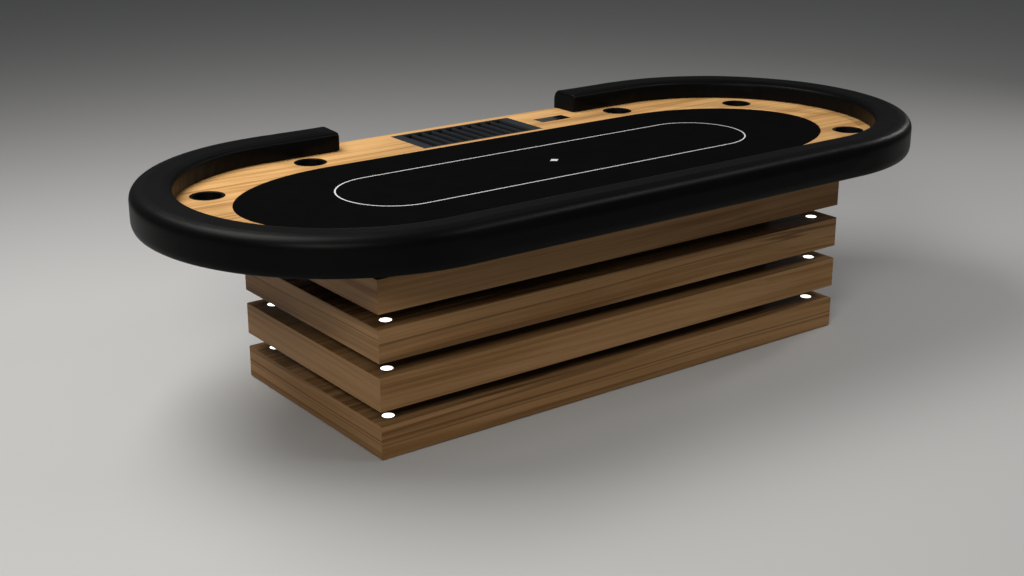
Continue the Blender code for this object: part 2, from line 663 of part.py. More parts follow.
def make_drop_box_lock():
    """Cam lock: head, barrel through the door, and a cam that points up when unlocked."""
    front = GAP * 2 + DOOR_THICKNESS
    face = front + LOCK_HEAD_THICKNESS
    rim = face - LOCK_HEAD_CHAMFER
    profile = [(0, LOCK_BACK), (LOCK_BARREL, LOCK_BACK), (LOCK_BARREL, front), (LOCK_HEAD, front),
               (LOCK_HEAD, rim), (LOCK_HEAD - LOCK_HEAD_CHAMFER, face), (0, face)]
    shape = turned(profile)
    lay_along_y(shape)
    lock = make_object("drop_box_lock", shape, "chrome", location=(LOCK_X, HINGE_Y, LOCK_Z), smooth_angle=40)
    reach, width, thickness = LOCK_CAM
    cam_front = LOCK_BACK + LOCK_CAM_OVERLAP
    unite(lock, box((-width / 2, cam_front - thickness, -width / 2), (width / 2, cam_front, reach)))
    half_length, half_width = LOCK_KEYWAY
    cut(lock, box((-half_length, rim, -half_width), (half_length, face + OVERSHOOT, half_width)))


def make_tier(number):
    top = tier_top(number)
    bottom = tier_bottom(number)
    block = box((-BASE_HALF_LENGTH, -BASE_HALF_WIDTH, bottom), (BASE_HALF_LENGTH, BASE_HALF_WIDTH, top))
    shell = make_object(f"base_tier_{number}_shell", block, "walnut")
    half_x = BASE_HALF_LENGTH - TIER_WALL
    half_y = BASE_HALF_WIDTH - TIER_WALL
    cut(shell, box((-half_x, -half_y, bottom - OVERSHOOT), (half_x, half_y, top - TIER_WALL)))
    holes = bmesh.new()
    add_stack_holes(holes, top - TIER_WALL - OVERSHOOT, top + OVERSHOOT)
    if number > 1:
        pocket = PUCK_RADIUS + GAP * 2
        floor = top - PUCK_THICKNESS - GAP
        low = top - TIER_WALL - OVERSHOOT
        high = top + OVERSHOOT
        profile = [(0, low), (WIRE_HOLE, low), (WIRE_HOLE, floor), (pocket, floor), (pocket, high),
                   (0, high)]
        for place in corners(PUCK_X, PUCK_Y):
            add_turned(holes, profile, HOLE_STEPS, (place[0], place[1], 0))
    cut(shell, holes)

    floor_bottom = bottom if number < TIER_COUNT else BOTTOM_FLOOR_Z
    floor_top = floor_bottom + TIER_FLOOR
    board = box((-half_x + GAP, -half_y + GAP, floor_bottom), (half_x - GAP, half_y - GAP, floor_top))
    panel = make_object(f"base_tier_{number}_floor", board, "black_paint")
    panel_holes = bmesh.new()
    add_stack_holes(panel_holes, floor_bottom - OVERSHOOT, floor_top + OVERSHOOT)
    if number == TIER_COUNT:
        for place in corners(FOOT_X, FOOT_Y):
            add_cylinder(panel_holes, FOOT_HOLE, floor_bottom - OVERSHOOT, floor_top + OVERSHOOT, place)
        cut_x = INLET_BODY_HALF[0] + GAP
        cut_z = INLET_BODY_HALF[1] + GAP
        cut(shell, box((INLET_X - cut_x, half_y - OVERSHOOT, INLET_Z - cut_z),
                       (INLET_X + cut_x, BASE_HALF_WIDTH + OVERSHOOT, INLET_Z + cut_z)))
    cut(panel, panel_holes)


def add_stack_holes(bm, low, high):
    """Holes for the tie rods and the wiring trunk, in line through the whole base."""
    for place in corners(ROD_X, ROD_Y):
        add_cylinder(bm, ROD_HOLE, low, high, place, BORE_STEPS)
    add_cylinder(bm, TRUNK_HOLE, low, high, (0, 0), BORE_STEPS)


def make_ring(name, half, low, high):
    half_x, half_y = half
    ring = make_object(name, box((-half_x, -half_y, low), (half_x, half_y, high)), "black_paint")
    cut(ring, box((-half_x + RING_WALL, -half_y + RING_WALL, low - OVERSHOOT),
                  (half_x - RING_WALL, half_y - RING_WALL, high + OVERSHOOT)))


def make_base():
    for number in range(1, TIER_COUNT + 1):
        make_tier(number)
    for number in range(1, TIER_COUNT):
        low = tier_top(number + 1) + GAP
        high = tier_bottom(number) - GAP
        make_ring(f"base_spacer_{number}", SPACER_HALF, low, high)
    make_ring("base_riser", RISER_HALF, tier_top(1) + GAP, TOP_UNDERSIDE - GAP)


def make_tie_rods():
    for number, place in enumerate(corners(ROD_X, ROD_Y), start=1):
        shaft = add_cylinder(bmesh.new(), ROD_RADIUS, ROD_BOTTOM, ROD_TOP, (0, 0), ROD_STEPS)
        rod = make_object(f"tie_rod_{number}", shaft, "steel", location=(place[0], place[1], 0),
                          smooth_angle=40)
        nut_top = BOTTOM_FLOOR_Z - GAP
        unite(rod, add_cylinder(bmesh.new(), NUT_RADIUS, NUT_BOTTOM, nut_top, (0, 0), NUT_STEPS))


def make_feet():
    profile = [(0, 0), (FOOT_PAD, 0), (FOOT_PAD, FOOT_PAD_EDGE), FOOT_COLLAR, (FOOT_STEM, FOOT_STEM_BOTTOM),
               (FOOT_STEM, FOOT_TOP), (0, FOOT_TOP)]
    for number, place in enumerate(corners(FOOT_X, FOOT_Y), start=1):
        make_object(f"levelling_foot_{number}", turned(profile), "rubber", location=(place[0], place[1], 0),
                    smooth_angle=40)


def make_light_pucks():
    radius = PUCK_RADIUS
    profile = [(0, -PUCK_THICKNESS), (radius, -PUCK_THICKNESS), (radius, -PUCK_CHAMFER),
               (radius - PUCK_CHAMFER, 0), (0, 0)]
    for number in range(2, TIER_COUNT + 1):
        for corner, place in enumerate(corners(PUCK_X, PUCK_Y), start=1):
            make_object(f"light_puck_{number}_{corner}", turned(profile), "light_lens",
                        location=(place[0], place[1], tier_top(number)), smooth_angle=50)


def make_wiring():
    """Cable: a trunk up the middle, bars under each lit tier's top and a riser into every puck pocket."""
    driver_top = BOTTOM_FLOOR_Z + TIER_FLOOR + GAP + DRIVER_SIZE[2]
    bar_levels = [tier_top(number) - TIER_WALL - WIRE_DROP for number in range(2, TIER_COUNT + 1)]
    trunk = make_object("led_harness", box((-TRUNK_HALF, -TRUNK_HALF, DRIVER_LEAD_Z - TRUNK_HALF),
                                           (TRUNK_HALF, TRUNK_HALF, bar_levels[0])), "cable")
    bars = bmesh.new()
    side_bars = bmesh.new()
    risers = bmesh.new()
    for level in bar_levels:
        add_box(bars, (-PUCK_X, -X_WIRE_HALF, level - X_WIRE_HALF),
                (PUCK_X, X_WIRE_HALF, level + X_WIRE_HALF))
        for side in (-1, 1):
            add_box(side_bars, (side * PUCK_X - Y_WIRE_HALF, -PUCK_Y, level - Y_WIRE_HALF),
                    (side * PUCK_X + Y_WIRE_HALF, PUCK_Y, level + Y_WIRE_HALF))
        riser_top = level + WIRE_DROP + TIER_WALL - PUCK_THICKNESS - GAP
        for x, y in corners(PUCK_X, PUCK_Y):
            add_box(risers, (x - RISE_WIRE_HALF, y - RISE_WIRE_HALF, level),
                    (x + RISE_WIRE_HALF, y + RISE_WIRE_HALF, riser_top))
    unite(trunk, bars)
    unite(trunk, side_bars)
    unite(trunk, risers)
    unite(trunk, box((DRIVER_END_X + GAP, -RISE_WIRE_HALF, DRIVER_LEAD_Z - RISE_WIRE_HALF),
                     (0, RISE_WIRE_HALF, DRIVER_LEAD_Z + RISE_WIRE_HALF)))
    length, width, height = DRIVER_SIZE
    make_object("led_driver", box((DRIVER_END_X - length, -width / 2, driver_top - height),
                                  (DRIVER_END_X, width / 2, driver_top)), "black_plastic")


def make_power_inlet():
    """Appliance inlet with three blades beside the well of its rocker switch."""
    face = BASE_HALF_WIDTH + GAP
    front = face + INLET_FLANGE_THICKNESS
    half_x, half_z = INLET_FLANGE_HALF
    inlet = make_object("power_inlet", box((INLET_X - half_x, face, INLET_Z - half_z),
                                           (INLET_X + half_x, front, INLET_Z + half_z)), "black_plastic")
    body_x, body_z = INLET_BODY_HALF
    unite(inlet, box((INLET_X - body_x, BASE_HALF_WIDTH - INLET_DEPTH, INLET_Z - body_z),
                     (INLET_X + body_x, front - INLET_FLANGE_THICKNESS / 2, INLET_Z + body_z)))
    wells = bmesh.new()
    left, right = SOCKET_X
    add_box(wells, (INLET_X + left, BASE_HALF_WIDTH - SOCKET_DEPTH, INLET_Z - SOCKET_HALF_HEIGHT),
            (INLET_X + right, front + OVERSHOOT, INLET_Z + SOCKET_HALF_HEIGHT))
    well_x = ROCKER_HALF_WIDTH + ROCKER_WELL_MARGIN[0]
    well_z = ROCKER_TIP + ROCKER_WELL_MARGIN[1]
    add_box(wells, (ROCKER_X - well_x, BASE_HALF_WIDTH - ROCKER_WELL_DEPTH, INLET_Z - well_z),
            (ROCKER_X + well_x, front + OVERSHOOT, INLET_Z + well_z))
    cut(inlet, wells)
    blades = bmesh.new()
    blade_x, blade_z = BLADE_HALF
    root, tip = BLADE_SPAN
    for across, up in BLADE_PLACES:
        add_box(blades, (BLADE_X + across - blade_x, BASE_HALF_WIDTH - root, INLET_Z + up - blade_z),
                (BLADE_X + across + blade_x, BASE_HALF_WIDTH - tip, INLET_Z + up + blade_z))
    unite(inlet, blades)


def make_rocker_switch():
    """Rocker with a shallow V face; local origin on its pivot."""
    half_back, back = ROCKER_BACK
    outline = [(-ROCKER_TIP, ROCKER_TIP), (0.0, ROCKER_VALLEY), (ROCKER_TIP, ROCKER_TIP), (ROCKER_TIP, 0.0),
               (half_back, back), (-half_back, back), (-ROCKER_TIP, 0.0)]
    bm = bmesh.new()
    base = bm.faces.new([bm.verts.new((-ROCKER_HALF_WIDTH, y, z)) for z, y in outline])
    grown = bmesh.ops.extrude_face_region(bm, geom=[base])
    moved = [item for item in grown["geom"] if isinstance(item, bmesh.types.BMVert)]
    bmesh.ops.translate(bm, verts=moved, vec=(2 * ROCKER_HALF_WIDTH, 0, 0))
    rocker = make_object("rocker_switch", bm, "black_plastic", location=(ROCKER_X, ROCKER_Y, INLET_Z))
    rocker.rotation_euler.x = -ROCKER_TILT


def main():
    clear_scene()
    make_deck()
    make_racetrack()
    make_playfield()
    make_arm_rail()
    make_cups()
    make_chip_tray()
    make_drop_slot()
    make_drop_box_hanger()
    make_drop_box()
    make_drop_box_door()
    make_drop_box_lock()
    make_base()
    make_tie_rods()
    make_feet()
    make_light_pucks()
    make_wiring()
    make_power_inlet()
    make_rocker_switch()


main()
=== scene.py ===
"""Looks of the poker table: leather rail, wood racetrack, cloth, cups, chip tray and a lit, tiered base."""
import math

import bmesh
import bpy
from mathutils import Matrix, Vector


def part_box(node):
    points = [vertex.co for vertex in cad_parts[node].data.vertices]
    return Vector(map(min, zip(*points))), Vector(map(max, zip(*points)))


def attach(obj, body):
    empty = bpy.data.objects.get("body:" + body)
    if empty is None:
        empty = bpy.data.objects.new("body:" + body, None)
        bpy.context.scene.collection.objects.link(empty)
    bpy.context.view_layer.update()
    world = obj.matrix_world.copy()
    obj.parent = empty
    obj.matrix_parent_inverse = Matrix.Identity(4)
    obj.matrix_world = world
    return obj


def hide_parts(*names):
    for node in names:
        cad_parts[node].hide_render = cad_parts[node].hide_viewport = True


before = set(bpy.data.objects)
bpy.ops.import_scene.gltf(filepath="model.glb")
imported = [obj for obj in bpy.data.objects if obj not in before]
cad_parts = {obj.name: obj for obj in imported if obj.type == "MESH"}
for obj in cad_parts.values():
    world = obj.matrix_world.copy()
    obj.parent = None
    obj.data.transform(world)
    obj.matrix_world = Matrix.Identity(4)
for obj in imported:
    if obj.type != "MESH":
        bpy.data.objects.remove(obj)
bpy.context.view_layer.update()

BODY = "table"
HAIRLINE = 0.0003                # clearance between neighbouring pieces
PAST = 0.01                      # how far a cutter runs past the face that it cuts

# ---------------------------------------------------------------- sizes that repeat the part's source
RAIL_WIDTH = 0.131
DEALER_HALF_GAP = 0.519
PLAYFIELD_HALF_STRAIGHT = 0.656

CUP_NODES = [f"cup_holder_{number:02d}" for number in range(1, 11)]
CUP_BODY = 0.0480                # outer radius under the flange
CUP_BASE = 0.0455                # outer radius at the bottom
CUP_LIP = 0.002                  # thickness of the flange

GROOVES = 10
GROOVE_PITCH = 0.044
GROOVE_RADIUS = 0.0205
GROOVE_LIFT = 0.0005             # the grooves' centres lie this far above the tray's top
TRAY_WALL = 0.003
TRAY_FLANGE = 0.008              # width of the flange
TRAY_TOP = 0.003                 # thickness of the flange
TROUGH_HALF = GROOVES / 2 * GROOVE_PITCH + TRAY_WALL

TIERS = (1, 2, 3, 4)             # from the top down
LIT_TIERS = (2, 3, 4)
BOARD = 0.018                    # thickness of the tiers' boards
CORNERS = (1, 2, 3, 4)           # numbers of the lights, feet and tie rods
PUCK = 0.020                     # outer radius of a light puck
PUCK_DEPTH = 0.006
PUCK_GAP = 0.0005                # between a light and its pocket
INLET_FLANGE = 0.003

# ---------------------------------------------------------------- sizes read from the frame
rail_low, rail_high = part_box("rail_cover")
cloth_low, cloth_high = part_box("playfield_cloth")
panel_low, panel_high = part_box("racetrack_panel")
deck_low, deck_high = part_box("table_deck")
tray_low, tray_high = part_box("chip_tray")
plate_low, plate_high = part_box("drop_slot_plate")

HALF_STRAIGHT = rail_high.x - rail_high.y
RAIL_OUTER = rail_high.y
RAIL_INNER = RAIL_OUTER - RAIL_WIDTH
RAIL_MIDDLE = (RAIL_INNER + RAIL_OUTER) / 2
RAIL_TOP = rail_high.z
RAIL_BOTTOM = rail_low.z
PLAY_SURFACE = panel_high.z
RAIL_SEAT = PLAY_SURFACE + HAIRLINE
PLAYFIELD_HALF_WIDTH = cloth_high.y
PLAYFIELD_END_STRETCH = (cloth_high.x - PLAYFIELD_HALF_STRAIGHT) / cloth_high.y


# ---------------------------------------------------------------- materials
def new_material(name):
    made = bpy.data.materials.new(name)
    made.use_nodes = True
    tree = made.node_tree
    return made, tree, tree.nodes["Principled BSDF"]


class Nodes:
    """Short calls for building a node tree."""

    def __init__(self, tree):
        self.tree = tree
        self.coords = tree.nodes.new("ShaderNodeTexCoord").outputs["Object"]

    def add(self, kind, **settings):
        node = self.tree.nodes.new(kind)
        for key, value in settings.items():
            setattr(node, key, value)
        return node

    def link(self, source, target):
        self.tree.links.new(source, target)

    def put(self, socket, value):
        if isinstance(value, bpy.types.NodeSocket):
            self.link(value, socket)
        else:
            socket.default_value = value

    def mapped(self, scale=(1, 1, 1), offset=(0, 0, 0), source=None):
        node = self.add("ShaderNodeMapping")
        self.link(source or self.coords, node.inputs["Vector"])
        node.inputs["Scale"].default_value = scale
        node.inputs["Location"].default_value = offset
        return node.outputs["Vector"]

    def noise(self, vector, scale=1.0, detail=2.0, roughness=0.5, distortion=0.0):
        node = self.add("ShaderNodeTexNoise")
        self.link(vector, node.inputs["Vector"])
        node.inputs["Scale"].default_value = scale
        node.inputs["Detail"].default_value = detail
        node.inputs["Roughness"].default_value = roughness
        node.inputs["Distortion"].default_value = distortion
        return node.outputs["Fac"]

    def voronoi(self, vector, scale, feature="F1"):
        node = self.add("ShaderNodeTexVoronoi", feature=feature)
        self.link(vector, node.inputs["Vector"])
        node.inputs["Scale"].default_value = scale
        return node.outputs["Distance"]

    def math(self, operation, first, second=0.0):
        node = self.add("ShaderNodeMath", operation=operation)
        self.put(node.inputs[0], first)
        self.put(node.inputs[1], second)
        return node.outputs[0]

    def weighted(self, *terms):
        """Sum of (socket, weight) pairs."""
        total = None
        for socket, weight in terms:
            scaled = self.math("MULTIPLY", socket, weight)
            total = scaled if total is None else self.math("ADD", total, scaled)
        return total

    def ramp(self, factor, low, high):
        """0 below low, 1 above high, smooth between."""
        node = self.add("ShaderNodeMapRange", interpolation_type="SMOOTHSTEP")
        self.put(node.inputs["Value"], factor)
        node.inputs["From Min"].default_value = low
        node.inputs["From Max"].default_value = high
        return node.outputs["Result"]

    def near(self, value, level, full, gone):
        """1 where the value lies within full of the level, 0 beyond gone."""
        away = self.math("ABSOLUTE", self.math("SUBTRACT", value, level))
        return self.math("SUBTRACT", 1.0, self.ramp(away, full, gone))

    def spread(self, factor, low, high):
        """A 0 to 1 factor spread linearly between two values."""
        node = self.add("ShaderNodeMapRange")
        self.put(node.inputs["Value"], factor)
        node.inputs["To Min"].default_value = low
        node.inputs["To Max"].default_value = high
        return node.outputs["Result"]

    def mix(self, factor, first, second):
        node = self.add("ShaderNodeMix", data_type="RGBA")
        self.put(node.inputs[0], factor)
        for socket, value in ((node.inputs[6], first), (node.inputs[7], second)):
            self.put(socket, value if isinstance(value, bpy.types.NodeSocket) else (*value, 1.0))
        return node.outputs[2]

    def bump(self, height, strength, distance):
        node = self.add("ShaderNodeBump")
        self.put(node.inputs["Height"], height)
        node.inputs["Strength"].default_value = strength
        node.inputs["Distance"].default_value = distance
        return node.outputs["Normal"]


def wood(name, tones, seed, specular, coat, roughness=0.38, streaks=0.0, leaf_joints=()):
    """Straight-grained lacquered veneer, its grain along the piece's own X.

    streaks adds broad dark bands, and leaf_joints are the y of the thin dark lines between veneer leaves.
    """
    light, middle_tone, dark = tones
    made, tree, shader = new_material(name)
    n = Nodes(tree)
    start = (seed * 3.7, seed * 1.9, seed * 2.3)
    sway = n.noise(n.mapped((0.55, 1.4, 1.4), start), detail=1.0)
    warp = n.add("ShaderNodeVectorMath", operation="MULTIPLY_ADD")
    n.link(sway, warp.inputs[0])
    warp.inputs[1].default_value = (0.0, 0.10, 0.10)
    n.link(n.coords, warp.inputs[2])
    bent = warp.outputs[0]
    broad = n.noise(n.mapped((0.35, 9, 9), start, bent), detail=2.0)
    streak = n.noise(n.mapped((0.50, 48, 48), start, bent), detail=3.0, roughness=0.6)
    fine = n.noise(n.mapped((2.6, 300, 300), start, bent), detail=2.0, roughness=0.6)
    pores = n.noise(n.mapped((34, 1000, 1000), start, bent), detail=1.0)
    bands = n.noise(n.mapped((0.16, 13, 13), (start[1], start[2], start[0]), bent), detail=2.0, roughness=0.6)
    blotch = n.noise(n.mapped((1.6, 5, 5), start), detail=2.0)
    tone = n.weighted((streak, 0.45), (broad, 0.30), (fine, 0.12), (blotch, 0.13))
    colour = n.mix(n.ramp(tone, 0.38, 0.53), dark, middle_tone)
    colour = n.mix(n.ramp(tone, 0.48, 0.60), colour, light)
    if streaks:
        band = n.weighted((n.near(bands, 0.56, full=0.010, gone=0.045), 0.9 * streaks),
                          (n.near(bands, 0.40, full=0.006, gone=0.030), 0.7 * streaks))
        colour = n.mix(band, colour, tuple(value * 0.55 for value in dark))
    pore = n.math("SUBTRACT", 1.0, n.ramp(pores, 0.30, 0.40))
    colour = n.mix(n.math("MULTIPLY", pore, 0.25), colour, dark)
    if leaf_joints:
        across = n.add("ShaderNodeSeparateXYZ")
        n.link(n.coords, across.inputs[0])
        for place in leaf_joints:
            joint = n.near(across.outputs["Y"], place, full=0.0010, gone=0.0028)
            colour = n.mix(n.math("MULTIPLY", joint, 0.75), colour, tuple(value * 0.30 for value in dark))
    n.link(colour, shader.inputs["Base Color"])
    n.link(n.spread(streak, roughness + 0.06, roughness - 0.06), shader.inputs["Roughness"])
    n.link(n.bump(n.weighted((fine, 1.0), (pore, -0.8)), 0.10, 0.0004), shader.inputs["Normal"])
    shader.inputs["Specular IOR Level"].default_value = specular
    shader.inputs["Coat Weight"].default_value = coat
    shader.inputs["Coat Roughness"].default_value = 0.22
    return made


def leather(name):
    """Fine-grained black upholstery leather: small cells, creases and a slightly uneven polish."""
    made, tree, shader = new_material(name)
    n = Nodes(tree)
    place = n.mapped()
    groove = n.ramp(n.voronoi(place, 620, "DISTANCE_TO_EDGE"), 0.0, 0.16)
    pebble = n.noise(place, 900, 2.0)
    creases = n.noise(place, 60, 4.0, 0.6, 0.4)
    cloud = n.noise(place, 5.0, 3.0)
    height = n.weighted((groove, 0.7), (pebble, 0.25), (creases, 0.8))
    n.link(n.bump(height, 0.16, 0.0004), shader.inputs["Normal"])
    n.link(n.mix(cloud, (0.0014, 0.0014, 0.0015), (0.0030, 0.0030, 0.0032)), shader.inputs["Base Color"])
    n.link(n.math("ADD", n.weighted((cloud, 0.12), (groove, -0.05)), 0.36), shader.inputs["Roughness"])
    shader.inputs["Specular IOR Level"].default_value = 0.065
    return made


def playing_cloth(name):
    """Matte speed cloth: a close twill weave with a little fuzz."""
    made, tree, shader = new_material(name)
    n = Nodes(tree)
    turned_place = n.add("ShaderNodeMapping")
    n.link(n.coords, turned_place.inputs["Vector"])
    turned_place.inputs["Rotation"].default_value = (0, 0, math.radians(45))
    ribs = n.add("ShaderNodeTexWave", wave_type="BANDS", bands_direction="X", wave_profile="SIN")
    n.link(turned_place.outputs["Vector"], ribs.inputs["Vector"])
    ribs.inputs["Scale"].default_value = 260
    ribs.inputs["Distortion"].default_value = 1.2
    ribs.inputs["Detail"].default_value = 1.0
    fuzz = n.noise(n.mapped(), 1600, 2.0, 0.7)
    mottle = n.noise(n.mapped(), 14, 3.0)
    n.link(n.bump(n.weighted((ribs.outputs["Fac"], 0.5), (fuzz, 1.0)), 0.35, 0.0004), shader.inputs["Normal"])
    tone = n.weighted((mottle, 0.6), (fuzz, 0.4))
    n.link(n.mix(tone, (0.0012, 0.0012, 0.0013), (0.0034, 0.0034, 0.0037)), shader.inputs["Base Color"])
    shader.inputs["Roughness"].default_value = 1.0
    shader.inputs["Specular IOR Level"].default_value = 0.01
    shader.inputs["Sheen Weight"].default_value = 0.002
    shader.inputs["Sheen Roughness"].default_value = 0.5
    return made


def printed_white(name):
    """White ink printed into the cloth, a little broken by the weave."""
    made, tree, shader = new_material(name)
    n = Nodes(tree)
    fuzz = n.noise(n.mapped(), 1400, 2.0, 0.7)
    tone = n.ramp(fuzz, 0.35, 0.60)
    n.link(n.mix(tone, (0.45, 0.45, 0.45), (0.80, 0.80, 0.79)), shader.inputs["Base Color"])
    n.link(n.bump(fuzz, 0.3, 0.0003), shader.inputs["Normal"])
    shader.inputs["Roughness"].default_value = 0.9
    return made


def plastic(name, colour, roughness, grain=900, strength=0.10, specular=0.5):
    """Moulded plastic with a fine spark texture and faint handling marks."""
    made, tree, shader = new_material(name)
    n = Nodes(tree)
    spark = n.noise(n.mapped(), grain, 2.0)
    cloud = n.noise(n.mapped(), 18, 4.0)
    darker = tuple(value * 0.75 for value in colour)
    n.link(n.mix(cloud, darker, colour), shader.inputs["Base Color"])
    n.link(n.spread(cloud, roughness - 0.05, roughness + 0.07), shader.inputs["Roughness"])
    n.link(n.bump(spark, strength, 0.0002), shader.inputs["Normal"])
    shader.inputs["Specular IOR Level"].default_value = specular
    return made


def slate_plastic(name):
    """Satin slate plastic, with painted shade: near black down in the grooves."""
    made, tree, shader = new_material(name)
    n = Nodes(tree)
    spark = n.noise(n.mapped(), 900, 2.0)
    cloud = n.noise(n.mapped(), 18, 4.0)
    depth = n.add("ShaderNodeSeparateXYZ")
    n.link(n.coords, depth.inputs[0])
    # Painted shade: the colour fades from slate just under the tray's top to near black 12 mm down, in the
    # grooves.
    up = n.ramp(depth.outputs["Z"], tray_high.z - 0.0120, tray_high.z - 0.0005)
    slate = n.mix(cloud, (0.020, 0.023, 0.028), (0.028, 0.032, 0.038))
    n.link(n.mix(up, (0.0015, 0.0015, 0.0018), slate), shader.inputs["Base Color"])
    n.link(n.spread(cloud, 0.50, 0.62), shader.inputs["Roughness"])
    n.link(n.bump(spark, 0.10, 0.0002), shader.inputs["Normal"])
    shader.inputs["Specular IOR Level"].default_value = 0.08
    return made


def metal(name, colour, roughness, brushed=0.0):
    """Polished, or brushed along X, with faint smudges."""
    made, tree, shader = new_material(name)
    n = Nodes(tree)
    smudge = n.noise(n.mapped(), 22, 4.0)
    lines = n.noise(n.mapped((4, 400, 400)), 1.0, 3.0)
    worn = tuple(value * 0.88 for value in colour)
    n.link(n.mix(smudge, colour, worn), shader.inputs["Base Color"])
    n.link(n.spread(smudge, roughness, roughness + 0.06), shader.inputs["Roughness"])
    n.link(n.bump(lines, 0.02 + brushed, 0.0002), shader.inputs["Normal"])
    shader.inputs["Metallic"].default_value = 1.0
    return made


def painted(name, colour, roughness, specular=0.3):
    """Sprayed paint or powder coat with light orange peel and rubbed patches."""
    made, tree, shader = new_material(name)
    n = Nodes(tree)
    peel = n.noise(n.mapped(), 420, 2.0)
    cloud = n.noise(n.mapped(), 6, 4.0)
    lighter = tuple(value * 1.6 + 0.002 for value in colour)
    n.link(n.mix(n.ramp(cloud, 0.4, 0.75), colour, lighter), shader.inputs["Base Color"])
    n.link(n.spread(cloud, roughness - 0.08, roughness + 0.08), shader.inputs["Roughness"])
    n.link(n.bump(peel, 0.10, 0.0003), shader.inputs["Normal"])
    shader.inputs["Specular IOR Level"].default_value = specular
    return made


def opal_light(name):
    """Opal lens lit from behind."""
    made, tree, shader = new_material(name)
    n = Nodes(tree)
    frost = n.noise(n.mapped(), 500, 2.0)
    n.link(n.bump(frost, 0.08, 0.0002), shader.inputs["Normal"])
    shader.inputs["Base Color"].default_value = (0.9, 0.9, 0.88, 1)
    shader.inputs["Roughness"].default_value = 0.35
    n.link(n.mix(frost, (1.0, 0.95, 0.86), (1.0, 0.98, 0.92)), shader.inputs["Emission Color"])
    shader.inputs["Emission Strength"].default_value = 2.5
    return made


# Each wood has a light, a middle and a dark tone.
HONEY = ((0.72, 0.420, 0.170), (0.62, 0.350, 0.132), (0.42, 0.215, 0.072))
# The base's tones are the honey tones darkened by about half: painted shade for the dimmer light the base
# gets under the table top.
HONEY_IN_PAINTED_SHADE = tuple(tuple(value * share for value, share in zip(tone, (0.49, 0.485, 0.55))) for tone in HONEY)
# Places across the racetrack, in metres from the middle, and how bold each tier's dark bands are.
LEAF_JOINTS = [side * y for side in (1, -1) for y in (0.449, 0.356, 0.179)]
TIER_STREAKS = {1: 0.0, 2: 1.0, 3: 0.12, 4: 0.8}

RACETRACK_WOOD = wood("racetrack_wood", HONEY, seed=1, specular=0.18, coat=0.04, leaf_joints=LEAF_JOINTS)
LEATHER = leather("black_leather")
CLOTH = playing_cloth("black_speed_cloth")
INK = printed_white("white_print")
CUP_BLACK = plastic("cup_black", (0.0018, 0.0018, 0.0020), 0.50, specular=0.10)
TRAY_GREY = slate_plastic("tray_slate")
BLACK_PLASTIC = plastic("black_moulding", (0.008, 0.008, 0.009), 0.45)
CHROME = metal("polished_chrome", (0.66, 0.65, 0.64), 0.09)
STEEL = metal("zinc_steel", (0.48, 0.48, 0.50), 0.32, brushed=0.10)
BLACK_PAINT = painted("black_board_paint", (0.003, 0.003, 0.003), 0.70, specular=0.15)
POWDER = painted("black_powder_coat", (0.008, 0.008, 0.009), 0.42)
RUBBER = plastic("foot_rubber", (0.014, 0.014, 0.014), 0.80, grain=300, strength=0.2, specular=0.2)
CABLE = plastic("cable_jacket", (0.55, 0.55, 0.53), 0.50)
OPAL = opal_light("opal_lens")


# ---------------------------------------------------------------- mesh helpers
def piece(name, bm, material, body=BODY, replaces=(), location=(0, 0, 0), turn=0.0, angle=35):
    """Turn a bmesh into a finished piece that rides on a body."""
    bmesh.ops.recalc_face_normals(bm, faces=bm.faces)
    mesh = bpy.data.meshes.new(name)
    bm.to_mesh(mesh)
    bm.free()
    made = bpy.data.objects.new(name, mesh)
    made.location = location
    made.rotation_euler.z = turn
    bpy.context.scene.collection.objects.link(made)
    mesh.materials.append(material)
    mesh.shade_smooth()
    mesh.set_sharp_from_angle(angle=math.radians(angle))
    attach(made, body)
    if replaces:
        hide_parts(*replaces)
    return made


def bake(target):
    """Apply every modifier to the piece's mesh."""
    graph = bpy.context.evaluated_depsgraph_get()
    done = bpy.data.meshes.new_from_object(target.evaluated_get(graph), depsgraph=graph)
    done.name = target.name
    target.modifiers.clear()
    target.data = done


def bevel(target, width, segments=2):
    """Break every edge sharper than 30 degrees for good."""
    step = target.modifiers.new("bevel", "BEVEL")
    step.width = width
    step.segments = segments
    step.limit_method = "ANGLE"
    step.angle_limit = math.radians(30)
    bake(target)


def boolean(target, bm, operation):
    """Cut or add a closed shape, given in world coordinates, for good."""
    bmesh.ops.recalc_face_normals(bm, faces=bm.faces)
    mesh = bpy.data.meshes.new("tool")
    bm.to_mesh(mesh)
    bm.free()
    tool = bpy.data.objects.new("tool", mesh)
    bpy.context.scene.collection.objects.link(tool)
    step = target.modifiers.new("boolean", "BOOLEAN")
    step.operation = operation
    step.object = tool
    step.solver = "EXACT"
    bpy.context.view_layer.update()
    bake(target)
    bpy.data.objects.remove(tool, do_unlink=True)


def carve(target, *cutters):
    for bm in cutters:
        boolean(target, bm, "DIFFERENCE")


def grow(bm, base_points, step):
    """Extrude a flat outline of 3-D points by a vector."""
    base = bm.faces.new([bm.verts.new(point) for point in base_points])
    grown = bmesh.ops.extrude_face_region(bm, geom=[base])
    moved = [item for item in grown["geom"] if isinstance(item, bmesh.types.BMVert)]
    bmesh.ops.translate(bm, verts=moved, vec=step)
    return bm


def add_prism(bm, outline, low, high):
    return grow(bm, [(x, y, low) for x, y in outline], (0, 0, high - low))


def prism(outline, low, high):
    return add_prism(bmesh.new(), outline, low, high)


def rectangle(x0, y0, x1, y1):
    return [(x0, y0), (x1, y0), (x1, y1), (x0, y1)]


def add_box(bm, low, high):
    return add_prism(bm, rectangle(low[0], low[1], high[0], high[1]), low[2], high[2])


def box(low, high):
    return add_box(bmesh.new(), low, high)


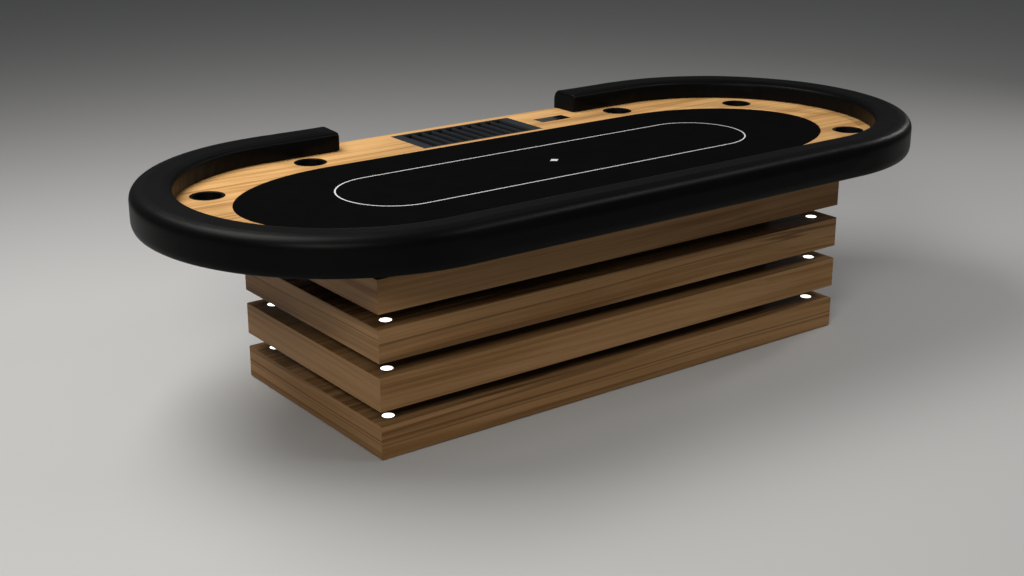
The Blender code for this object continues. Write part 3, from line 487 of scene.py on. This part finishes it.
def add_turned(bm, profile, steps, centre=(0, 0, 0)):
    """Turn a profile of (radius, z) points; its ends may lie on the axis."""
    rings = []
    for radius, z in profile:
        if radius == 0:
            rings.append([bm.verts.new((centre[0], centre[1], centre[2] + z))])
            continue
        ring = []
        for step in range(steps):
            angle = 2 * math.pi * step / steps
            ring.append(bm.verts.new((centre[0] + radius * math.cos(angle),
                                      centre[1] + radius * math.sin(angle), centre[2] + z)))
        rings.append(ring)
    pairs = list(zip(rings, rings[1:]))
    if len(rings[0]) > 1:
        pairs.append((rings[-1], rings[0]))
    for lower, upper in pairs:
        for step in range(steps):
            after = (step + 1) % steps
            quad = [lower[step % len(lower)], lower[after % len(lower)],
                    upper[after % len(upper)], upper[step % len(upper)]]
            unique = list(dict.fromkeys(quad))
            if len(unique) > 2:
                bm.faces.new(unique)
    return bm


def turned(profile, steps=64):
    return add_turned(bmesh.new(), profile, steps)


def loft(bm, rings, closed_ends=True):
    """Join rings of vertices of equal length, with a face across both ends."""
    for ring, following in zip(rings, rings[1:]):
        for index in range(len(ring)):
            after = (index + 1) % len(ring)
            bm.faces.new((ring[index], ring[after], following[after], following[index]))
    if closed_ends:
        bm.faces.new(rings[0])
        bm.faces.new(rings[-1])
    return bm


def arc(centre, radius, start, end, steps):
    points = []
    for step in range(steps + 1):
        angle = math.radians(start + (end - start) * step / steps)
        points.append((centre[0] + radius * math.cos(angle), centre[1] + radius * math.sin(angle)))
    return points


def stadium(radius, half_straight=HALF_STRAIGHT, stretch=1, steps=96):
    """Racetrack outline whose end arcs are stretched lengthwise."""
    points = []
    for side in (1, -1):
        points += [(side * half_straight + stretch * x, y) for x, y in
                   arc((0, 0), radius, side * 90, side * 90 - 180, steps)]
    return points


def playfield_outline(inset):
    return stadium(PLAYFIELD_HALF_WIDTH - inset, PLAYFIELD_HALF_STRAIGHT, PLAYFIELD_END_STRETCH, steps=120)


def corners(x, y):
    return [(side * x, row * y) for row in (1, -1) for side in (-1, 1)]


def middle(node):
    low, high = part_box(node)
    return (low + high) / 2


# ---------------------------------------------------------------- camera, floor and light
CAMERA_LENS = 53.285             # mm, on a sensor 36 mm wide
CAMERA_PLACE = (-3.1003, -3.9192, 1.9470)
CAMERA_TILT = 71.026             # degrees up from looking straight down
CAMERA_HEADING = -36.706         # degrees from looking along +Y, clockwise being negative
FLOOR_HALF = 40
SKY = (0.80, 0.82, 0.85)
SKY_STRENGTH = 0.10
DAYLIGHT = (1.0, 0.98, 0.95)
WARM = (1.0, 0.97, 0.92)
LIGHTS = (                       # name, location, aimed at, size, watts, colour
    ("key", (-1.8, 1.2, 3.8), (-0.4, 0, 0.7), (3.4, 2.2), 158, DAYLIGHT),
    ("shoulder", (2.2, -2.0, 3.6), (0, -0.6, 0.7), (2.4, 0.35), 44, DAYLIGHT),
    ("side", (4.8, 0.4, 2.3), (1.2, -0.4, 0.7), (0.5, 0.5), 20, DAYLIGHT),
    ("front", (-4.8, -3.9, 4.0), (0, 0, 0.3), (2.0, 1.6), 165, WARM),
)


def make_camera():
    """A three-quarter view from the near left corner, a little above the table."""
    data = bpy.data.cameras.new("camera")
    data.lens = CAMERA_LENS
    data.sensor_width = 36.0
    data.clip_end = 200.0
    camera = bpy.data.objects.new("camera", data)
    camera.location = CAMERA_PLACE
    camera.rotation_euler = (math.radians(CAMERA_TILT), 0, math.radians(CAMERA_HEADING))
    bpy.context.scene.collection.objects.link(camera)
    bpy.context.scene.camera = camera


def area_light(name, location, target, size, energy, colour):
    data = bpy.data.lights.new(name, "AREA")
    data.shape = "RECTANGLE"
    data.size, data.size_y = size
    data.energy = energy
    data.color = colour
    lamp = bpy.data.objects.new(name, data)
    lamp.location = location
    aim = Vector(target) - Vector(location)
    lamp.rotation_euler = aim.to_track_quat("-Z", "Y").to_euler()
    bpy.context.scene.collection.objects.link(lamp)


def make_floor():
    bm = bmesh.new()
    bmesh.ops.create_grid(bm, x_segments=8, y_segments=8, size=FLOOR_HALF)
    mesh = bpy.data.meshes.new("studio_floor")
    bm.to_mesh(mesh)
    bm.free()
    floor = bpy.data.objects.new("studio_floor", mesh)
    bpy.context.scene.collection.objects.link(floor)
    concrete, _, shader = new_material("studio_floor")
    shader.inputs["Base Color"].default_value = (0.50, 0.50, 0.50, 1)
    shader.inputs["Roughness"].default_value = 0.80
    mesh.materials.append(concrete)


def make_light():
    world = bpy.data.worlds.new("studio")
    world.use_nodes = True
    background = world.node_tree.nodes["Background"]
    background.inputs["Color"].default_value = (*SKY, 1)
    background.inputs["Strength"].default_value = SKY_STRENGTH
    bpy.context.scene.world = world
    bpy.context.scene.view_settings.view_transform = "Standard"
    for settings in LIGHTS:
        area_light(*settings)


# ---------------------------------------------------------------- arm rail
OUTER_ROUND = 0.034
UNDER_ROUND = (0.0125, 0.024)    # width and height of the round at the lower outer edge
INNER_ROUND = 0.012
CROWN_DROP = 0.004               # how much lower the top's inner edge is than its outer edge
CROWN_TURN = 96                  # degrees at which the rounds meet the sloping top
END_ROUND = 0.009                # radius where the top and sides turn into the end faces
END_FADE = 0.03                  # closer to the rail's middle line than this, the sides' inset fades out
PANEL_CLEAR = panel_high.y + 2 * HAIRLINE
RAIL_STEP = 0.016                # length of one facet along the rail
SECTION_STEP = 0.009             # length of one facet round the section
FAR_ALONG = 1.0                  # stands for any distance from the ends that is past their rounding
SWELL = 0.0020                   # how far the leather starts inside its finished shape
SWELL_CAP = 0.0025               # how far outside that shape it may end
SWELL_SINK = 0.0008              # and how far inside
SWELL_FRAMES = 20
PRESSURE = 4.0
RAIL_SHARP = 50                  # degrees past which the rail's edges are shaded sharp


def resample(points, step):
    """Evenly spaced points along a polyline, both ends kept."""
    lengths = [math.dist(a, b) for a, b in zip(points, points[1:])]
    count = max(2, round(sum(lengths) / step))
    spaced = []
    for index in range(count + 1):
        left = sum(lengths) * index / count
        place = 0
        while place < len(lengths) - 1 and left > lengths[place]:
            left -= lengths[place]
            place += 1
        share = min(1.0, left / lengths[place])
        a, b = points[place], points[place + 1]
        spaced.append((a[0] + (b[0] - a[0]) * share, a[1] + (b[1] - a[1]) * share))
    return spaced


def rail_section():
    """Outline of the padded rail as (radius, z): the leather skin, then the hidden faces under it."""
    inner_top = RAIL_TOP - CROWN_DROP
    skin = [(RAIL_INNER, RAIL_SEAT)]
    skin += arc((RAIL_INNER + INNER_ROUND, inner_top - INNER_ROUND), INNER_ROUND, 180, CROWN_TURN, 10)
    skin += arc((RAIL_OUTER - OUTER_ROUND, RAIL_TOP - OUTER_ROUND), OUTER_ROUND, CROWN_TURN, 0, 16)
    width, height = UNDER_ROUND
    skin += [(RAIL_OUTER + (across - 1) * width, RAIL_BOTTOM + (up + 1) * height)
             for across, up in arc((0, 0), 1, 0, -90, 12)]
    skin = resample(skin + [(PANEL_CLEAR, RAIL_BOTTOM)], SECTION_STEP)
    hidden = [(PANEL_CLEAR, deck_high.z), (PANEL_CLEAR, RAIL_SEAT),
              ((PANEL_CLEAR + RAIL_INNER) / 2, RAIL_SEAT)]
    return skin, hidden


def rail_stations():
    """(x of the centre, outward x, outward y, distance from the nearer end) along the rail."""
    straight = HALF_STRAIGHT - DEALER_HALF_GAP
    near_end = [END_ROUND * (1 - math.cos(math.radians(angle))) for angle in range(0, 90, 18)]
    count = round((straight - END_ROUND) / RAIL_STEP)
    far_along = [END_ROUND + (straight - END_ROUND) * index / count for index in range(count)]
    first = [(DEALER_HALF_GAP + along, 0.0, 1.0, along) for along in near_end + far_along]
    arc_count = round(math.pi * RAIL_MIDDLE / RAIL_STEP)
    side_count = round(2 * HALF_STRAIGHT / RAIL_STEP)
    rounds = {1: [], -1: []}
    for side, stations in rounds.items():
        for index in range(arc_count + 1):
            angle = side * math.pi / 2 - math.pi * index / arc_count
            stations.append((side * HALF_STRAIGHT, math.cos(angle), math.sin(angle), FAR_ALONG))
    near_side = [(HALF_STRAIGHT - 2 * HALF_STRAIGHT * index / side_count, 0.0, -1.0, FAR_ALONG)
                 for index in range(1, side_count)]
    last = [(-x, out_x, out_y, along) for x, out_x, out_y, along in reversed(first)]
    return first + rounds[1] + near_side + rounds[-1] + last


def end_inset(along):
    """How far the section shrinks near the rail's ends, to round them off."""
    if along >= END_ROUND:
        return 0.0
    return END_ROUND - math.sqrt(END_ROUND ** 2 - (END_ROUND - along) ** 2)


def inflate(target, held):
    """Where a short cloth simulation under pressure takes the piece's vertices."""
    group = target.vertex_groups.new(name="held")
    group.add(sorted(held), 1.0, "REPLACE")
    step = target.modifiers.new("leather", "CLOTH")
    step.settings.quality = 5
    step.settings.vertex_group_mass = "held"
    step.settings.use_pressure = True
    step.settings.uniform_pressure_force = PRESSURE
    step.settings.tension_stiffness = 40
    step.settings.compression_stiffness = 40
    step.settings.shear_stiffness = 20
    step.settings.bending_stiffness = 2.0
    step.settings.effector_weights.gravity = 0.0
    step.point_cache.frame_end = SWELL_FRAMES
    for number in range(1, SWELL_FRAMES + 1):
        bpy.context.scene.frame_set(number)
    graph = bpy.context.evaluated_depsgraph_get()
    swollen = [vert.co.copy() for vert in target.evaluated_get(graph).data.vertices]
    target.modifiers.clear()
    target.vertex_groups.clear()
    bpy.context.scene.frame_set(1)
    return swollen


def swell(target, held):
    """Swell the leather over its padding, within the caps, and keep the result."""
    mesh = target.data
    finished = [vert.co.copy() for vert in mesh.vertices]
    loose = [index for index in range(len(finished)) if index not in held]
    normals = [vert.normal.copy() for vert in mesh.vertices]
    for index in loose:
        mesh.vertices[index].co = finished[index] - normals[index] * SWELL
    swollen = inflate(target, held)
    for index, place in enumerate(finished):
        mesh.vertices[index].co = place
    for index in loose:
        outward = (swollen[index] - finished[index]).dot(normals[index])
        mesh.vertices[index].co = finished[index] + normals[index] * max(-SWELL_SINK, min(SWELL_CAP, outward))


def rounded_off(radius, z, inset):
    """A point of the skin, moved in towards the section's middle near the rail's ends."""
    toward_middle = max(-1.0, min(1.0, (RAIL_MIDDLE - radius) / END_FADE))
    drop = inset if z > RAIL_TOP - OUTER_ROUND else 0.0
    return radius + inset * toward_middle, z - drop


def is_tacked(radius, z, along):
    """Whether the leather is fixed here: at the rail's ends and along its two lower edges."""
    edge = RAIL_SEAT if radius < RAIL_MIDDLE else RAIL_BOTTOM
    return along <= END_ROUND or z < edge + SECTION_STEP / 2


def make_rail():
    """One swept leather form over the rail's foam and core."""
    skin, hidden = rail_section()
    bm = bmesh.new()
    rings = []
    held = set()
    for centre_x, out_x, out_y, along in rail_stations():
        inset = end_inset(along)
        first = len(rings) * len(skin + hidden)
        held.update(first + index for index, (radius, z) in enumerate(skin) if is_tacked(radius, z, along))
        held.update(first + len(skin) + index for index in range(len(hidden)))
        section = [rounded_off(radius, z, inset) for radius, z in skin] + hidden
        rings.append([bm.verts.new((centre_x + radius * out_x, radius * out_y, z)) for radius, z in section])
    bm.verts.index_update()
    loft(bm, rings)
    rail = piece("arm_rail_leather", bm, LEATHER,
                 replaces=("rail_cover", "rail_foam", "rail_core"), angle=RAIL_SHARP)
    swell(rail, held)
    step = rail.modifiers.new("finer", "SUBSURF")
    step.levels = 1
    step.render_levels = 1
    bake(rail)
    rail.data.shade_smooth()
    rail.data.set_sharp_from_angle(angle=math.radians(RAIL_SHARP))


# ---------------------------------------------------------------- table top
def cup_holes(low, rebate, high):
    """Cutters for the cup holders, with a step for the flange if the rebate is below the cutters' top."""
    bm = bmesh.new()
    for node in CUP_NODES:
        place = middle(node)
        cup_low, cup_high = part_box(node)
        flange = (cup_high.x - cup_low.x) / 2 + 2 * HAIRLINE
        body = CUP_BODY + 2 * HAIRLINE
        profile = [(0, low), (body, low), (body, high), (0, high)]
        if rebate < high:
            profile[2:3] = [(body, rebate), (flange, rebate), (flange, high)]
        add_turned(bm, profile, 96, (place.x, place.y, 0))
    return bm


def clear_of(low_corner, high_corner):
    """Rectangle in plan that leaves a hairline all round a box."""
    return rectangle(low_corner.x - HAIRLINE, low_corner.y - HAIRLINE,
                     high_corner.x + HAIRLINE, high_corner.y + HAIRLINE)


def chute_hole(low, high):
    return prism(clear_of(*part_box("drop_chute")), low, high)


def make_racetrack():
    """Veneered panel with its openings and the rebates for everything that lies flush in it."""
    low = panel_low.z - PAST
    high = panel_high.z + PAST
    panel = piece("racetrack_veneer", prism(stadium(panel_high.y), panel_low.z, panel_high.z),
                  RACETRACK_WOOD, replaces=("racetrack_panel",))
    field = prism(playfield_outline(-2 * HAIRLINE), low, high)
    cups = cup_holes(low, panel_high.z - CUP_LIP - HAIRLINE, high)
    edge = TRAY_FLANGE - 2 * HAIRLINE
    half = TROUGH_HALF + 2 * HAIRLINE
    well = prism(rectangle(-half, tray_low.y + edge, half, tray_high.y - edge), low, high)
    rebates = prism(clear_of(tray_low, tray_high), panel_high.z - TRAY_TOP - HAIRLINE, high)
    add_prism(rebates, clear_of(plate_low, plate_high), plate_low.z - HAIRLINE, high)
    carve(panel, field, cups, well, chute_hole(low, high), rebates)
    bevel(panel, width=0.0006)


def make_deck():
    """Structural board under the racetrack and the playfield."""
    low = deck_low.z - PAST
    high = deck_high.z + PAST
    deck = piece("deck_board", prism(stadium(deck_high.y), deck_low.z, deck_high.z), BLACK_PAINT,
                 replaces=("table_deck",))
    carve(deck, cup_holes(low, high, high), chute_hole(low, high))
    bevel(deck, width=0.001)


CLOTH_ROLL = 0.0025              # radius of the cloth where it turns down into the joint with the wood
CLOTH_RINGS = (0.01, 0.05, 0.12, 0.20, 0.28, 0.34)    # how far in from its edge the flat cloth's rings lie
PRINT_LIFT = 0.00012             # top of the print above the cloth
LINE_RADIUS = 0.1890             # outer radius of the betting line's ends
LINE_HALF_STRAIGHT = 0.640
LINE_WIDTH = 0.0048
MARK_HALF = (0.018, 0.015)


def make_playfield():
    """Cloth laid over its board, rolled down at the edge into the joint with the wood."""
    levels = [(0, cloth_low.z)]
    levels += [(-x, cloth_high.z - CLOTH_ROLL + up) for x, up in arc((-CLOTH_ROLL, 0), CLOTH_ROLL, 0, 90, 6)]
    levels += [(inset, cloth_high.z) for inset in CLOTH_RINGS]
    bm = bmesh.new()
    rings = []
    for inset, z in levels:
        rings.append([bm.verts.new((x, y, z)) for x, y in playfield_outline(inset)])
    cloth = piece("playing_cloth", loft(bm, rings), CLOTH,
                  replaces=("playfield_cloth", "playfield_board"))


def make_print():
    """The betting line and the mark in the middle, printed on the cloth."""
    top = cloth_high.z + PRINT_LIFT
    bm = bmesh.new()
    line = []
    for line_radius, z in ((LINE_RADIUS, cloth_high.z), (LINE_RADIUS, top), (LINE_RADIUS - LINE_WIDTH, top),
                           (LINE_RADIUS - LINE_WIDTH, cloth_high.z)):
        line.append([bm.verts.new((x, y, z)) for x, y in stadium(line_radius, LINE_HALF_STRAIGHT)])
    loft(bm, line + line[:1], closed_ends=False)
    piece("betting_line", bm, INK)
    half_x, half_y = MARK_HALF
    rhombus = [(-half_x, 0), (0, -half_y), (half_x, 0), (0, half_y)]
    piece("centre_mark", prism(rhombus, cloth_high.z, top), INK)


CUP_WALL = 0.002
CUP_HEEL = 0.004                 # outer round at the bottom
CUP_CORNER = 0.006               # inner round at the bottom
CUP_RIM = 0.003                  # round where the flange turns down into the cup
CUP_COLLAR = 0.003               # straight part of the wall under the flange
FLANGE_EDGE = ((-0.0004, -CUP_LIP), (0, 0.0006 - CUP_LIP), (0, -0.0007), (-0.0003, -0.0002), (-0.0010, 0.0))


def cup_profile(flange, depth):
    """(radius, z) round the cup's wall, with z = 0 at the top of the flange; FLANGE_EDGE gives the eased edge
    point by point.
    """
    profile = [(0, -depth)]
    profile += arc((CUP_BASE - CUP_HEEL, -depth + CUP_HEEL), CUP_HEEL, 270, 360, 5)
    profile += [(CUP_BODY, -CUP_LIP - CUP_COLLAR), (CUP_BODY, -CUP_LIP)]
    profile += [(flange + outward, z) for outward, z in FLANGE_EDGE]
    profile += arc((CUP_BODY - CUP_WALL + CUP_RIM, -CUP_RIM), CUP_RIM, 90, 180, 8)
    inner = CUP_WALL + CUP_CORNER
    profile += arc((CUP_BASE - inner, -depth + inner), CUP_CORNER, 0, -90, 6)
    return profile + [(0, -depth + CUP_WALL)]


def make_cups():
    """Cups with a rolled rim, a tapered wall and rounded corners at the bottom."""
    for number, node in enumerate(CUP_NODES, start=1):
        place = middle(node)
        low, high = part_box(node)
        profile = cup_profile((high.x - low.x) / 2, high.z - low.z)
        piece(f"cup_{number:02d}", turned(profile, 72), CUP_BLACK, body=f"cup_{number:02d}",
              replaces=(node,), location=(place.x, place.y, high.z), angle=50)


# ---------------------------------------------------------------- chip tray and drop slot
def add_lengthwise(bm, outline, near, far):
    """Extrude an (x, z) outline along Y."""
    return grow(bm, [(x, near, z) for x, z in outline], (0, far - near, 0))


def groove_cutters(centres, near, far):
    """Ten half-round troughs for the chips."""
    top = tray_high.z
    grooves = bmesh.new()
    for centre in centres:
        outline = arc((centre, top + GROOVE_LIFT), GROOVE_RADIUS, 180, 360, 32)
        outline += [(centre + GROOVE_RADIUS, top + PAST), (centre - GROOVE_RADIUS, top + PAST)]
        add_lengthwise(grooves, outline, near, far)
    return grooves


def relief_cutter(centres, near, far):
    """What lies under the troughs, so that the underside follows their curves one wall below."""
    top = tray_high.z
    outer = GROOVE_RADIUS + TRAY_WALL
    reach = math.degrees(math.acos(GROOVE_PITCH / 2 / outer))
    curves = []
    for centre in centres:
        curves += arc((centre, top), outer, 180 + reach, 360 - reach, 16)[1:]
    first = centres[0]
    last = centres[-1]
    below = tray_low.z - PAST
    outline = [(first, top - outer)] + [point for point in curves if first < point[0] < last]
    outline += [(last, top - outer), (last, below), (first, below)]
    return add_lengthwise(bmesh.new(), outline, near, far)


def make_chip_tray():
    """A flanged trough with a row of half-round grooves, carved above and below."""
    top = tray_high.z
    near = tray_low.y + TRAY_FLANGE
    far = tray_high.y - TRAY_FLANGE
    centres = [(index - (GROOVES - 1) / 2) * GROOVE_PITCH for index in range(GROOVES)]
    flange = box((tray_low.x, tray_low.y, top - TRAY_TOP), tray_high)
    tray = piece("chip_rack", flange, TRAY_GREY, body="chip_tray",
                 replaces=("chip_tray",), angle=30)
    trough = box((-TROUGH_HALF, near, tray_low.z), (TROUGH_HALF, far, top - TRAY_TOP / 2))
    boolean(tray, trough, "UNION")
    inside = (near + TRAY_WALL, far - TRAY_WALL)
    carve(tray, groove_cutters(centres, *inside), relief_cutter(centres, *inside))
    bevel(tray, width=0.0007)


SLOT_HALF = (0.045, 0.0025)      # half the length and width of the slot in its plate
SCREW_INSET = 0.008              # from the plate's edges to the middle of a screw
SCREW_SINK = 0.0002
SCREW_HEAD = ((0, -0.0020), (0.0012, -0.0020), (0.0031, -0.0001), (0.0030, 0.0), (0, 0.0))
COUNTERSINK = ((0, -0.0022), (0.0014, -0.0022), (0.0036, 0.0004), (0, 0.0004))
SCREW_TURN = 0.4                 # radians from one screw's heading to the next


def make_slot_plate():
    """Polished plate with a countersunk screw in each corner."""
    centre = middle("drop_slot_plate")
    top = plate_high.z
    half_length, half_width = SLOT_HALF
    plate = piece("slot_plate", box(plate_low, plate_high), CHROME,
                  replaces=("drop_slot_plate",))
    slot = box((centre.x - half_length, centre.y - half_width, plate_low.z - PAST),
               (centre.x + half_length, centre.y + half_width, top + PAST))
    places = corners(plate_high.x - centre.x - SCREW_INSET, plate_high.y - centre.y - SCREW_INSET)
    dimples = bmesh.new()
    for x, y in places:
        add_turned(dimples, COUNTERSINK, 24, (centre.x + x, centre.y + y, top))
    carve(plate, slot, dimples)
    bevel(plate, width=0.0005)
    for number, (x, y) in enumerate(places, start=1):
        piece(f"slot_plate_screw_{number}", turned(SCREW_HEAD, 24), CHROME,
              location=(centre.x + x, centre.y + y, top - SCREW_SINK), turn=SCREW_TURN * number)


# ---------------------------------------------------------------- base
SEAM = 0.00012                   # gap left at each mitred joint
ARRIS = 0.0009                   # how much the boards' edges are eased
WIRE_HOLE = 0.004                # radius of the hole for the light's wires


def mitred_board(length, height):
    """A board standing on edge, its show face at y = 0 and mitred at both ends and along the top."""
    bm = bmesh.new()
    rings = []
    for inset in (0, BOARD):
        outline = rectangle(-length / 2 + inset, 0, length / 2 - inset, height - inset)
        rings.append([bm.verts.new((x, inset, z)) for x, z in outline])
    return loft(bm, rings)


def mitred_top(half_x, half_y):
    """A panel whose edges are mitred down and inwards; its top face is at z = 0."""
    bm = bmesh.new()
    rings = []
    for inset, z in ((0, 0), (BOARD, -BOARD)):
        outline = rectangle(-half_x + inset, -half_y + inset, half_x - inset, half_y - inset)
        rings.append([bm.verts.new((x, y, z)) for x, y in outline])
    return loft(bm, rings)


def inlet_opening(back):
    """Cutter for the body of the power inlet, through the back board, under the inlet's flange."""
    inlet_low, inlet_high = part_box("power_inlet")
    edge = INLET_FLANGE - HAIRLINE
    return box((inlet_low.x + edge, back - BOARD - PAST, inlet_low.z + edge),
               (inlet_high.x - edge, back + PAST, inlet_high.z - edge))


def puck_pockets(tier, top):
    """Cutters for the four lights in a tier's top, each with a hole for its wires."""
    radius = PUCK + PUCK_GAP
    floor = -PUCK_DEPTH - HAIRLINE
    pocket = [(0, -BOARD - PAST), (WIRE_HOLE, -BOARD - PAST), (WIRE_HOLE, floor), (radius, floor),
              (radius, PAST), (0, PAST)]
    pockets = bmesh.new()
    for corner in CORNERS:
        place = middle(f"light_puck_{tier}_{corner}")
        add_turned(pockets, pocket, 64, (place.x, place.y, top))
    return pockets


def make_tier(tier):
    """Four boards and a top, mitred into a box, in veneer of their own."""
    node = f"base_tier_{tier}_shell"
    low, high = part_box(node)
    height = high.z - low.z
    length = high.x - low.x
    width = high.y - low.y
    # The tiers' veneer takes the honey tones darkened by painted shade.
    veneer = wood(f"base_veneer_{tier}", HONEY_IN_PAINTED_SHADE, seed=tier * 1.37 + 4, specular=0.06, coat=0.01,
                  streaks=TIER_STREAKS[tier])
    sides = (("front", (0, low.y, low.z), 0.0, length),
             ("back", (0, high.y, low.z), math.pi, length),
             ("left", (low.x, 0, low.z), -math.pi / 2, width),
             ("right", (high.x, 0, low.z), math.pi / 2, width))
    for side, place, turn, run in sides:
        board = piece(f"tier_{tier}_{side}", mitred_board(run - 2 * SEAM, height - SEAM), veneer,
                      replaces=(node,) if side == "front" else (),
                      location=place, turn=turn)
        if tier == TIERS[-1] and side == "back":
            carve(board, inlet_opening(high.y))
        bevel(board, ARRIS)
    top = piece(f"tier_{tier}_top", mitred_top(high.x - SEAM, high.y - SEAM), veneer,
                location=(0, 0, high.z))
    if tier in LIT_TIERS:
        carve(top, puck_pockets(tier, high.z))
    bevel(top, ARRIS)


BEZEL = 0.0012                   # width of the ring round a lens
BEZEL_LOW = 0.0008               # how far its edges lie below its crest
LENS_RADIUS = PUCK - 0.0014
LENS_DEPTH = 0.005
LENS_EDGE = 0.0012               # how far the lens's edge lies below the tier's top
LENS_DOME = 0.0010


def bezel_profile():
    return [(PUCK - BEZEL, -PUCK_DEPTH), (PUCK, -PUCK_DEPTH), (PUCK, -BEZEL_LOW), (PUCK - 0.0004, -0.0001),
            (PUCK - 0.0009, -0.0002), (PUCK - BEZEL, -BEZEL_LOW)]


def lens_profile():
    dome = [(math.cos(math.radians(angle)), math.sin(math.radians(angle))) for angle in (20, 40, 60, 75)]
    return ([(0, -LENS_DEPTH), (LENS_RADIUS, -LENS_DEPTH), (LENS_RADIUS, -LENS_EDGE)]
            + [(LENS_RADIUS * across, LENS_DOME * up - LENS_EDGE) for across, up in dome]
            + [(0, LENS_DOME - LENS_EDGE)])


def make_light_pucks():
    """A thin metal bezel round a slightly domed opal lens."""
    bezel = bezel_profile()
    lens = lens_profile()
    for tier in LIT_TIERS:
        for corner in CORNERS:
            node = f"light_puck_{tier}_{corner}"
            place = middle(node)
            spot = (place.x, place.y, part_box(node)[1].z)
            piece(f"puck_{tier}_{corner}_bezel", turned(bezel), STEEL, location=spot, angle=40)
            piece(f"puck_{tier}_{corner}_lens", turned(lens), OPAL, replaces=(node,),
                  location=spot, angle=60)


FOOT_PAD = 0.025                 # radius of a levelling foot's pad
FOOT_STEM = 0.005                # radius of its stem
FOOT_HEIGHT = 0.060
FOOT_EASE = 0.0015


def make_feet():
    """A rubber pad with eased edges and a sloping top that runs up into the stem."""
    profile = [(0, 0), (FOOT_PAD - FOOT_EASE, 0), (FOOT_PAD, 0.0012), (FOOT_PAD, 0.0034),
               (FOOT_PAD - 0.0008, 0.0042), (2 * FOOT_STEM, 0.0078), (FOOT_STEM + 0.0012, 0.0092),
               (FOOT_STEM, 0.0105), (FOOT_STEM, FOOT_HEIGHT - 0.0010), (FOOT_STEM - 0.0008, FOOT_HEIGHT),
               (0, FOOT_HEIGHT)]
    for number in CORNERS:
        node = f"levelling_foot_{number}"
        place = middle(node)
        piece(f"foot_pad_{number}", turned(profile, 48), RUBBER, body=f"foot_{number}",
              replaces=(node,), location=(place.x, place.y, 0), angle=40)


# ---------------------------------------------------------------- CAD nodes that stay
def dress_cad_nodes():
    """Materials for the solids that show as they are."""
    looks = {"drop_chute": BLACK_PLASTIC, "drop_box_hanger": STEEL, "drop_box": POWDER,
             "drop_box_door": POWDER, "drop_box_lock": CHROME, "base_riser": BLACK_PAINT,
             "led_driver": BLACK_PLASTIC, "led_harness": CABLE, "power_inlet": BLACK_PLASTIC,
             "rocker_switch": BLACK_PLASTIC}
    for tier in TIERS:
        looks[f"base_tier_{tier}_floor"] = BLACK_PAINT
    for spacer in (1, 2, 3):
        looks[f"base_spacer_{spacer}"] = BLACK_PAINT
    for rod in CORNERS:
        looks[f"tie_rod_{rod}"] = STEEL
    for node, look in looks.items():
        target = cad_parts[node]
        if not target.data.materials:
            target.data.materials.append(look)
        for slot in target.material_slots:
            slot.material = look


make_camera()
make_floor()
make_light()
make_rail()
make_racetrack()
make_deck()
make_playfield()
make_print()
make_cups()
make_chip_tray()
make_slot_plate()
for tier in TIERS:
    make_tier(tier)
make_light_pucks()
make_feet()
dress_cad_nodes()
